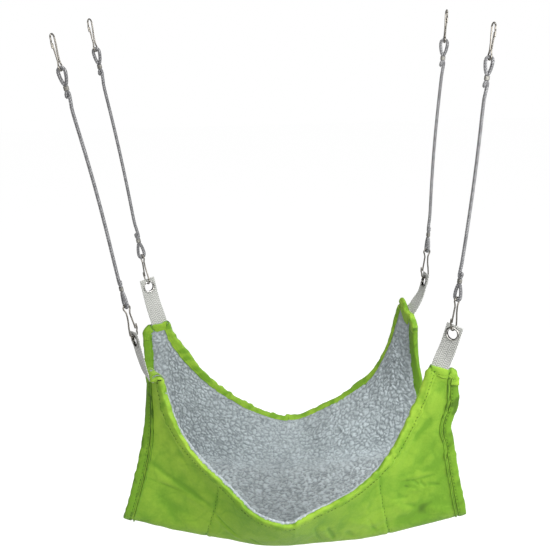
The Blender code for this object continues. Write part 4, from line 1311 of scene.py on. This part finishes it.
# %% [markdown]
# Each strip is lofted along the edge from one cross-section: free lip, outside face,
# fold, inside face. The two side hems also have a narrow pleat beside them. How wide the
# strip shows, how thick it is and how it puckers then changes from place to place: it is
# turned over further along the low middle than at the horns, opens where a strap comes
# out of a flat horn, creases beside that strap, and runs out wide at the back right tip.

# %% Shape the folded strips
BAND_W, BAND_T = 0.0100, 0.0007
FLEECE_EDGE_T = 0.0022
STITCH_IN = 0.0079


def band_section(pleat):
    """Reach in from the edge and height off the cloth in band thicknesses, for both faces."""
    outer = [(BAND_W + 0.0002, 0.0), (BAND_W + 0.0003, 0.6), (BAND_W - 0.0004, 1.15),
             (0.0088, 1.25), (STITCH_IN, 0.8), (0.0068, 1.3), (0.0050, 1.35), (0.0030, 1.25),
             (0.0012, 1.1)]
    if pleat:
        outer = [(0.0152, 0.0), (0.0149, 1.3), (0.0142, 2.1), (0.0133, 1.9), (0.0127, 0.6),
                 (0.0119, -0.5), (0.0109, -0.4)] + outer[1:]
    inner = [(reach, height) for reach, height in outer[::-1] if reach <= BAND_W] + [(BAND_W, 0.0)]
    if pleat:
        outer = [(reach * 0.80, height) for reach, height in outer]
        inner = [(reach * 1.15, height) for reach, height in inner]
    return outer, inner


FOLD_ANGLES = (62, 35, 10, -10, -35, -62)    # points round the fold, from outside to inside


def strip_run(frames, seed, flat_horn, pleat):
    """A strip's frames, and how its width, creases and puckers change along them."""
    edge, into, face, across, along = frames
    wide, tip = np.ones(len(edge)), np.zeros(len(edge))
    if not pleat:
        wide = 0.66 + 0.34 * smoothstep((np.abs(across) - 0.070) / 0.060)
        wide -= 0.26 * smoothstep((np.abs(across) - 0.166) / 0.008)
        if flat_horn < 0:    # the back edge: its right horn runs out into a wide tip
            wide += 0.50 * np.exp(-((across - 0.165) / 0.012) ** 4)
            wide -= 0.54 * np.exp(-((across - 0.132) / 0.024) ** 4)
            wide += 0.42 * np.exp(-((across - 0.076) / 0.020) ** 4)
            tip = np.exp(-((across - 0.1515) / 0.0065) ** 2)
    slot = np.exp(-((np.abs(across) - HORN_X) / 0.0108) ** 8) * (across * flat_horn > 0)
    crease = sum(np.exp(-((np.abs(across) - HORN_X - shift) / 0.0013) ** 2)
                 for shift in (-0.0114, 0.0104)) * (across * flat_horn > 0)
    lap = 0.35 * smoothstep((np.abs(across) - 0.172) / 0.006) * (not pleat)
    pull = (slow_noise(along, along * 0, 0.0055, seed) - 0.5) * (1 - tip)
    wave = (slow_noise(along, along * 0 + 3.0, 0.017, seed) - 0.5) * (1 - tip)
    lip = (0.0026 * wave + 0.0020 * pull) * (0.3 if pleat else 1.0)
    swell = (1 + 0.9 * wave + (0.8 if pleat else 1.8) * pull) * (1 - slot - 0.6 * crease)
    return SimpleNamespace(edge=edge, into=into, face=face, along=along, wide=wide, tip=tip,
                           crease=crease, lap=lap, pull=pull, wave=wave, lip=lip, swell=swell,
                           half=pocket(edge)[:, 0])


def strip_ring(run, k, outer, inner):
    """One cross-section of a strip: outside face, fold and inside face."""
    edge, into, face, half = run.edge[k], run.into[k], run.face[k], run.half[k]
    pull, wave, lip, crease, wide = run.pull[k], run.wave[k], run.lip[k], run.crease[k], run.wide[k]
    ring = []
    for reach, height in outer:
        share = reach / BAND_W
        spot, normal = glide(edge, into, face, (reach + lip * smoothstep(share)) * wide)
        off = (BAND_T * height * (1 + 0.7 * pull * (share > 0.5)) + run.lap[k] * MM
               + 0.0008 * (wave + pull) * (height > 0.3) * share
               - 0.0009 * crease * (share < 0.95))
        ring.append(spot + normal * max(off, -0.0004))
    thick = half + FLEECE_EDGE_T + BAND_T
    out = half + SHELL_T + BAND_T * 1.1
    centre = edge + face * (out - thick) / 2
    high = (out + thick) / 2 * (1 - 0.35 * run.tip[k])
    for angle in np.radians(FOLD_ANGLES):
        deep = 0.0004 + (0.0011 + 0.0026 * run.tip[k]) * math.cos(angle)
        ring.append(centre + face * high * math.sin(angle) - into * deep * run.swell[k])
    for reach, height in inner:
        spot, normal = glide(edge, into, face, (reach + lip * reach / BAND_W) * wide)
        down = (SHELL_T + 2 * half + FLEECE_EDGE_T + BAND_T * height * (1 - 0.6 * pull)
                + run.lap[k] * MM - 0.0009 * crease)
        ring.append(spot - normal * down)
    return ring


print("points round a binding", sum(map(len, band_section(False))) + len(FOLD_ANGLES))

# %% [markdown]
# A strip is coloured like the wall on its outside face, with a painted highlight along its
# fold, and painted shade in its creases, in blotches where it puckers, under its free lip
# and in the pleat's grooves. Its stitches are short lengths of thread, one after the other
# along a line near the free edge. Each dives into the cloth at both ends, so it is highest
# in its middle.

# %% Sew the strips
STITCH_PITCH = 0.0043
STITCH_R, STITCH_SIDES = 0.00034, 6
# Place along a stitch and thickness there, in stitch lengths and thread radii
STITCH_SHAPE = ((-0.5, 0.25), (-0.32, 0.9), (0, 1.1), (0.32, 0.9), (0.5, 0.25))


def strip_shades(run, outer, s, t, seed, shade, pleat):
    """How much painted shade each point of a strip takes; below 0 it is painted light."""
    # Painted shade: blotches where the strip puckers, and the creases beside a strap
    pucker_shade = np.clip((slow_noise(s + t * 0.6, t, 0.0062, seed + 2) - 0.58) / 0.22, 0, 1)
    fold = shade[0] + 0.20 * slow_noise(s, t * 0, 0.030, 3) + shade[1] * pucker_shade
    fold = fold + 0.75 * run.crease[:, None]
    if pleat:
        # Painted shade: the pleat's edge and its grooves are darkest
        fold[:, (0, 5)] = 1.0
        fold[:, 4:8] = np.maximum(fold[:, 4:8], 0.97)
    else:
        # Painted shade on the outside face away from the fold, which leaves a painted highlight
        # along the fold, and painted shade under the free lip
        off_fold_shade = smoothstep((np.array([reach for reach, _ in outer]) - 0.0020) / 0.0030)
        fold[:, :len(outer)] += 0.16 * off_fold_shade
        fold[:, 0] = 1.0
    return fold


def strip_stitches(run, pleat):
    """The place, direction and up of each stitch on a strip's outside."""
    along, stitches = run.along, []
    for s in np.arange(0.004, along[-1] - 0.004, STITCH_PITCH):
        k = int(np.clip(np.searchsorted(along, s), 1, len(along) - 1))
        share = (s - along[k - 1]) / (along[k] - along[k - 1])
        spots = []
        for i in (k - 1, k):
            reach = STITCH_IN * run.wide[i] * (0.80 if pleat else 1.0)
            spot, normal = glide(run.edge[i], run.into[i], run.face[i], reach)
            spots.append(spot + normal * BAND_T * 0.95)
        stitches.append((spots[0] * (1 - share) + spots[1] * share,
                         unit(spots[1] - spots[0]), normal))
    return stitches


def sewn_stitches(name, stitches, length=0.0025):
    """Short thread lengths that lie along a seam, as one piece."""
    points, faces = [], []
    for spot, ahead, up in stitches:
        side = np.cross(ahead, up)
        first = len(points)
        for reach, wide in STITCH_SHAPE:
            for k in range(STITCH_SIDES):
                angle = k * 2 * math.pi / STITCH_SIDES
                points.append(spot + ahead * reach * length + up * (0.0002 - 0.0016 * reach ** 2)
                              + STITCH_R * wide * (side * math.cos(angle) + up * math.sin(angle)))
        faces += [[first + v for v in face] for face in capped(len(STITCH_SHAPE), STITCH_SIDES)]
    points = np.array(points)
    made = make_object(name, placed(SLING, points), faces, THREAD, uv=points[:, :2],
                       values={"fold": np.zeros(len(points))}, body="sling")
    return made


def folded_band(name, frames, seed, shade, flat_horn=0, pleat=False):
    """One binding or hem along an edge, and its stitches as a piece of their own."""
    run = strip_run(frames, seed, flat_horn, pleat)
    outer, inner = band_section(pleat)
    rings = np.array([strip_ring(run, k, outer, inner) for k in range(len(run.edge))])
    turn = np.concatenate([[0], np.cumsum(np.linalg.norm(np.diff(rings[0], axis=0), axis=1))])
    s, t = np.broadcast_arrays(run.along[:, None], turn)
    fold = strip_shades(run, outer, s, t, seed, shade, pleat)
    band = make_object(name, placed(SLING, rings), capped(*rings.shape[:2]), LIME_BINDING,
                       uv=np.stack([s, t], axis=-1), values={"fold": fold}, body="sling")
    return band, strip_stitches(run, pleat)


print("stitches every", round(STITCH_PITCH / MM, 1), "mm")

# %% [markdown]
# The front and back bindings run along the whole top edge and a little round its two
# corners, so that they lap over the side hems. Each takes the place of its plain solid.

# %% Bind the front and back edges
def border(edge, step, over=5):
    """Grid places along an edge row, with a few of both side edges before and after it."""
    turn = range(over, 0, -1) if step == 1 else range(-1 - over, -1)
    before = [(0, row) for row in turn]
    after = [(-1, row) for row in reversed(turn)]
    return before + [(c, edge) for c in range(grid.shape[0])] + after


IN_STEP = 4     # a grid place this many rows further in shows which way is inwards
bands, sewing = [], []
# The shade pair: base painted shade (below 0 painted light) and the strength of its blotches
for name, edge, seed, shade, flat_horn in (("front", 0, 41, (-0.10, 0.25), 1),
                                           ("back", -1, 43, (0.0, 0.45), -1)):
    step = 1 if edge == 0 else -1
    spots = border(edge, step)
    near = [(c, edge + step * IN_STEP) if r == edge else
            (IN_STEP if c == 0 else -1 - IN_STEP, r) for c, r in spots]
    line, inner_line = (np.array([grid[spot] for spot in row]) for row in (spots, near))
    faces = np.array([normals[spot] for spot in spots])
    across = np.array([cloth[spot][0] for spot in spots]) * HORN_OUTER_X / FLOOR_X
    frames = edge_frames(line, inner_line, faces, across)
    band, stitches = folded_band(f"{name}_edge_binding", frames, seed, shade, flat_horn)
    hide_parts(f"{name}_binding")
    bands.append(band)
    sewing.append(sewn_stitches(f"{name}_edge_stitches", stitches))
    print(band.name, "has", len(stitches), "stitches")

# %% [markdown]
# The two sides are closed in the same way, from the front edge under the floor to the
# back edge. These hems are narrower outside and wider inside, with the pleat beside them.

# %% Hem the two sides
# The shade pair: base painted shade and the strength of its blotches, darker for the hems
for name, column, seed, shade in (("left", 0, 45, (0.48, 0.20)),
                                  ("right", -1, 47, (0.46, 0.20))):
    step = 1 if column == 0 else -1
    frames = edge_frames(grid[column], grid[column + step * IN_STEP], normals[column],
                         np.zeros(grid.shape[1]))
    band, stitches = folded_band(f"{name}_side_hem", frames, seed, shade, pleat=True)
    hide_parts(f"{name}_hem")
    bands.append(band)
    sewing.append(sewn_stitches(f"{name}_hem_stitches", stitches))
    print(band.name, "has", len(stitches), "stitches")

# %% [markdown]
# The panel seams show a line of stitches too, longer and further apart. Each stitch is
# put on the nearest grid point of the folded cloth and lies along the grid's column.

# %% Stitch the panel seams
seam_stitches = []
for side, high, low in SEAMS:
    for v in np.arange(-0.172, 0.172, 0.0046):
        c = int(np.argmin(np.abs(cloth[:, 0, 0] - side * seam_place(high, low, v))))
        r = int(np.argmin(np.abs(cloth[c, :, 1] - v)))
        if 6 < r < grid.shape[1] - 7 and from_edge[c, r] > 0.008:
            spot = outside[c, r] + (outside[c, r + 1] - outside[c, r - 1]) * 0.1
            seam_stitches.append((spot, unit(outside[c, r + 1] - outside[c, r - 1]),
                                  normals[c, r]))
sewing.append(sewn_stitches("panel_seam_stitches", seam_stitches, 0.0030))
print("seam stitches", len(seam_stitches))

# %% [markdown]
# At the front edge the trimmed pile peeps over the binding as a pale fringe. It is a thin
# tufted roll that lies just inside the binding's fold, and it fades out to both sides,
# since the photograph shows it along the left and middle only.

# %% Let the pile peep over the front edge
FRINGE_SIDES = 12
inside_line = slice(24, -24)
fringe_line = (grid[inside_line, 0] - normals[inside_line, 0]
               * (pocket(grid[inside_line, 0]) + FLEECE_EDGE_T + BAND_T + 0.0006))
fringe_line += unit(grid[inside_line, 0] - grid[inside_line, 4]) * 0.0009
fringe_line = evenly(fringe_line, 420)[0]
turn = np.arange(FRINGE_SIDES) * 2 * math.pi / FRINGE_SIDES
along = np.linspace(0, 0.45, len(fringe_line))[:, None]
curl = tufts(along + turn * 0, turn * 0.0011 + along * 0.2, 0.0038, 8)
seen = (smoothstep((fringe_line[:, 0] + 0.140) / 0.035)
        * smoothstep((0.045 - fringe_line[:, 0]) / 0.05))
fringe_radius = (0.0007 + 0.0017 * curl) * (0.35 + 0.65 * seen[:, None])
roll = placed(SLING, tube_points(fringe_line, fringe_radius, FRINGE_SIDES))
# Painted shade: the fringe is darker between its curls
fringe = make_object("fleece_fringe", roll, capped(*roll.shape[:2]), FLEECE,
                     values={"pile": 0.55 + 0.45 * curl}, body="sling")
print("fringe points", len(fringe.data.vertices))

# %% [markdown]
# ## Webbing straps and eyelets
# A strap is a short ribbon of webbing, sewn between the two plies of a horn. It leaves
# the horn, twists towards its hook and ends square above a plated eyelet. Its path is a
# row of cross-sections: those in the horn follow the cloth, those round the eyelet stand
# square to the pull of the cord, and a curve with a steady twist joins the two.

# %% Lead a strap from its horn to its eyelet
STRAP_W, STRAP_T = 0.0200, 0.0016
BORE_R, BARREL_R, FLANGE_R, ROLL_R = 0.00575, 0.00635, 0.0082, 0.0074
EYELET_DROP = BORE_R - WIRE_R - 0.0008    # the hook's wire lifts the eyelet's upper rim


def strap_sections(corner, pull):
    """Edge points and normals of a strap from its sewn end up, then the eyelet's axes."""
    side, depth = corner["side"], corner["depth"]
    ends = [HORN_X - side * STRAP_W / 2, HORN_X + side * STRAP_W / 2]
    buried = 0.0020 if corner["curl"] else 0.0092
    rows = [[horn_shape(wall_line((x, edge_lift(side * x, depth)), [down])[0][0]
                        * (side, -depth, 1), corner) for x in ends]
            for down in np.linspace(buried, 0, 4)]
    middles = np.array([(row[0] + row[1]) / 2 for row in rows])
    middles[:, 0] += side * 0.0058 * corner["ear"] * np.array([0.2, 0.5, 0.8, 1.0])
    ups = unit(np.gradient(middles, axis=0))
    lip_mid, base_up, base_across = middles[-1], ups[-1], unit(rows[-1][1] - rows[-1][0])
    turn = math.radians(corner["strap"])
    normal = np.array([math.sin(turn), -math.cos(turn), 0])
    normal = unit(normal - pull * normal.dot(pull))
    centre = np.array([side * EYELET_X, depth * PAIR_HALF, EYELET_RISE]) - pull * EYELET_DROP
    rise = centre - lip_mid
    rise = unit(rise - normal * rise.dot(normal))
    up = unit(pull * 0.4 + rise * 0.6) if corner["curl"] else unit(pull * 0.2 + rise * 0.8)
    if corner["ear"]:    # this strap leans over as a whole
        up = unit(pull * 0.5 + unit(centre - lip_mid) * 0.5)
        normal = unit(normal - up * normal.dot(up))
    across = np.cross(up, normal)
    across = across if across.dot(base_across) > 0 else -across
    base_across = unit(base_across * 0.6 + across * 0.4)
    base_across = unit(base_across - base_up * base_across.dot(base_up))
    sections = [(middle, base_across, np.cross(base_across, way))
                for middle, way in zip(middles, ups)]
    flat = centre - up * 0.0095
    reach = np.linalg.norm(flat - lip_mid) * 0.4
    lead = base_up * 0.55 if corner["curl"] else unit(base_up * 0.2 + unit(flat - lip_mid) * 0.8)
    handles = (lip_mid, lip_mid + lead * reach, flat - up * reach, flat)
    for share in (0.2, 0.4, 0.6, 0.8):
        point = bezier(handles, share)
        along = unit(bezier(handles, share + 0.05) - point)
        wide = np.array(Vector(base_across).slerp(Vector(across), float(smoothstep(share))))
        wide = unit(wide - along * wide.dot(along))
        sections.append((point, wide, np.cross(wide, along)))
    for point in (flat, centre, centre + up * 0.0102):
        sections.append((point, across, np.cross(across, up)))
    return sections, centre, across, up


print("strap of", round(STRAP_W / MM), "mm, eyelet of", round(2 * FLANGE_R / MM, 1), "mm")

# %% [markdown]
# The ribbon is lofted through those sections. It is thick in its middle, has rounded
# selvedges, and its edges ripple a little with the weave. The UV map runs in metres across
# and along it, so the herringbone keeps its size however the strap twists.

# %% Loft the webbing
RIBBON_SIDES, RIBBON_STEP = 36, 0.0011
TURN_WEIGHT = 0.02    # directions count this little when the curve's length is measured


def webbing_ribbon(sections):
    """Rings of a ribbon with rounded selvedges, its UV map in metres and its length."""
    knots = np.array([np.concatenate(section) for section in sections])
    knots[:, 3:] *= TURN_WEIGHT
    fine = smooth_curve(knots, RIBBON_STEP)
    angle = np.arange(RIBBON_SIDES) * 2 * math.pi / RIBBON_SIDES
    wide = np.sign(np.cos(angle)) * np.abs(np.cos(angle)) ** 0.55
    thick = np.sign(np.sin(angle)) * np.abs(np.sin(angle)) ** 0.35
    thick *= 1 - 0.12 * np.abs(np.cos(angle)) ** 6
    line, wide_ways, normal_ways = fine[:, :3], unit(fine[:, 3:6]), unit(fine[:, 6:])
    along = np.concatenate([[0], np.cumsum(np.linalg.norm(np.diff(line, axis=0), axis=1))])
    rings, uv = [], []
    for point, across, normal, s in zip(line, wide_ways, normal_ways, along):
        edge = STRAP_W / 2 * (1 + 0.012 * math.sin(s / 0.0007))
        rings.append(point + across * edge * wide[:, None] + normal * STRAP_T / 2 * thick[:, None])
        uv.append(np.stack([wide * STRAP_W / 2, np.full(RIBBON_SIDES, s)], axis=-1))
    return np.array(rings), np.array(uv), along[-1]


print("ribbon step", round(RIBBON_STEP / MM, 1), "mm")

# %% [markdown]
# An eyelet is a thin tube pressed through a hole in the webbing: a crowned flange in
# front, a barrel, and a roll behind. It is one outline turned round its axis. The outline
# also says where shade is painted, at the two rims of each flange and on the barrel. The hole
# itself is cut with a drill, and the cut mesh is kept, so that nothing is left to be worked
# out later.

# %% Press an eyelet and cut its hole
def eyelet_profile():
    """(radius, height) round an eyelet, and how much painted shade each point of the outline takes.
    """
    face = STRAP_T / 2 + 0.0003
    share = np.linspace(0, 1, 9)
    crown = [(BORE_R + (FLANGE_R - BORE_R) * (1 - math.cos(math.pi * s)) / 2,
              face + 0.0009 * math.sin(math.pi * s) ** 0.7) for s in share]
    roll = [(ROLL_R + (BORE_R - ROLL_R) * (1 - math.cos(math.pi * s)) / 2,
             -face - 0.0007 * math.sin(math.pi * s) ** 0.7) for s in share]
    grime_and_rim_shade = [abs(2 * s - 1) ** 3 for s in share]
    return crown + [(BARREL_R, face), (BARREL_R, -face)] + roll, grime_and_rim_shade + [1, 1] + grime_and_rim_shade


def pressed_ring(profile, sides=56):
    """Points and faces of an outline turned round the upright axis."""
    angle = np.arange(sides + 1) * 2 * math.pi / sides
    block = np.array([[(r * math.cos(a), r * math.sin(a), h) for r, h in profile] for a in angle])
    return block[:-1], loft_faces(sides + 1, len(profile), True) % (sides * len(profile))


def cut_hole(piece, where, radius):
    """Drills a round hole through a piece and keeps the result as its mesh."""
    drill = bmesh.new()
    bmesh.ops.create_cone(drill, cap_ends=True, segments=48, radius1=radius, radius2=radius,
                          depth=0.012)
    drill_mesh = bpy.data.meshes.new("eyelet_drill")
    drill.to_mesh(drill_mesh)
    drill.free()
    drill_mesh.transform(where)
    cutter = bpy.data.objects.new("eyelet_drill", drill_mesh)
    bpy.context.scene.collection.objects.link(cutter)
    cut = piece.modifiers.new("eyelet_hole", "BOOLEAN")
    cut.operation, cut.object, cut.solver = "DIFFERENCE", cutter, "EXACT"
    bpy.context.view_layer.update()
    result = bpy.data.meshes.new_from_object(piece.evaluated_get(
        bpy.context.evaluated_depsgraph_get()))
    piece.modifiers.remove(cut)
    piece.data = result
    bpy.data.objects.remove(cutter)


print("eyelet outline", len(eyelet_profile()[0]), "points")

# %% [markdown]
# Now the four straps are made and their eyelets set, crowned side outwards. Both ride on
# the sling's body. Each strap's measured length is printed.

# %% Weave the straps and set the eyelets
level = SLING.to_3x3().inverted()
for name, corner in CORNER.items():
    sections, centre, across, up = strap_sections(corner, np.array(level @ corner["pull"]))
    rings, uv, length = webbing_ribbon(sections)
    strap = make_object(f"webbing_strap_{name}", placed(SLING, rings),
                        capped(*rings.shape[:2]), WEBBING, uv=uv)
    outward = np.cross(across, up)
    if outward[1] * corner["depth"] < 0:
        across, outward = -across, -outward
    where = Matrix.Identity(4)
    for axis, direction in enumerate((across, up, outward, centre)):
        where.col[axis].xyz = Vector(direction)
    where = SLING @ where
    cut_hole(strap, where, BARREL_R + 0.0001)
    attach(strap, "sling")
    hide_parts(f"strap_{name}")
    # Painted shade at the eyelet's rims, from its outline
    profile, grime_and_rim_shade = eyelet_profile()
    ring, faces = pressed_ring(profile)
    eyelet = make_object(f"eyelet_ring_{name}", placed(where, ring), faces, NICKEL, body="sling",
                         values={"grime_and_rim_shade": np.tile(grime_and_rim_shade, len(ring))})
    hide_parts(f"eyelet_{name}")
    print(strap.name, "is", round(length / MM, 1), "mm long, points", len(strap.data.vertices))
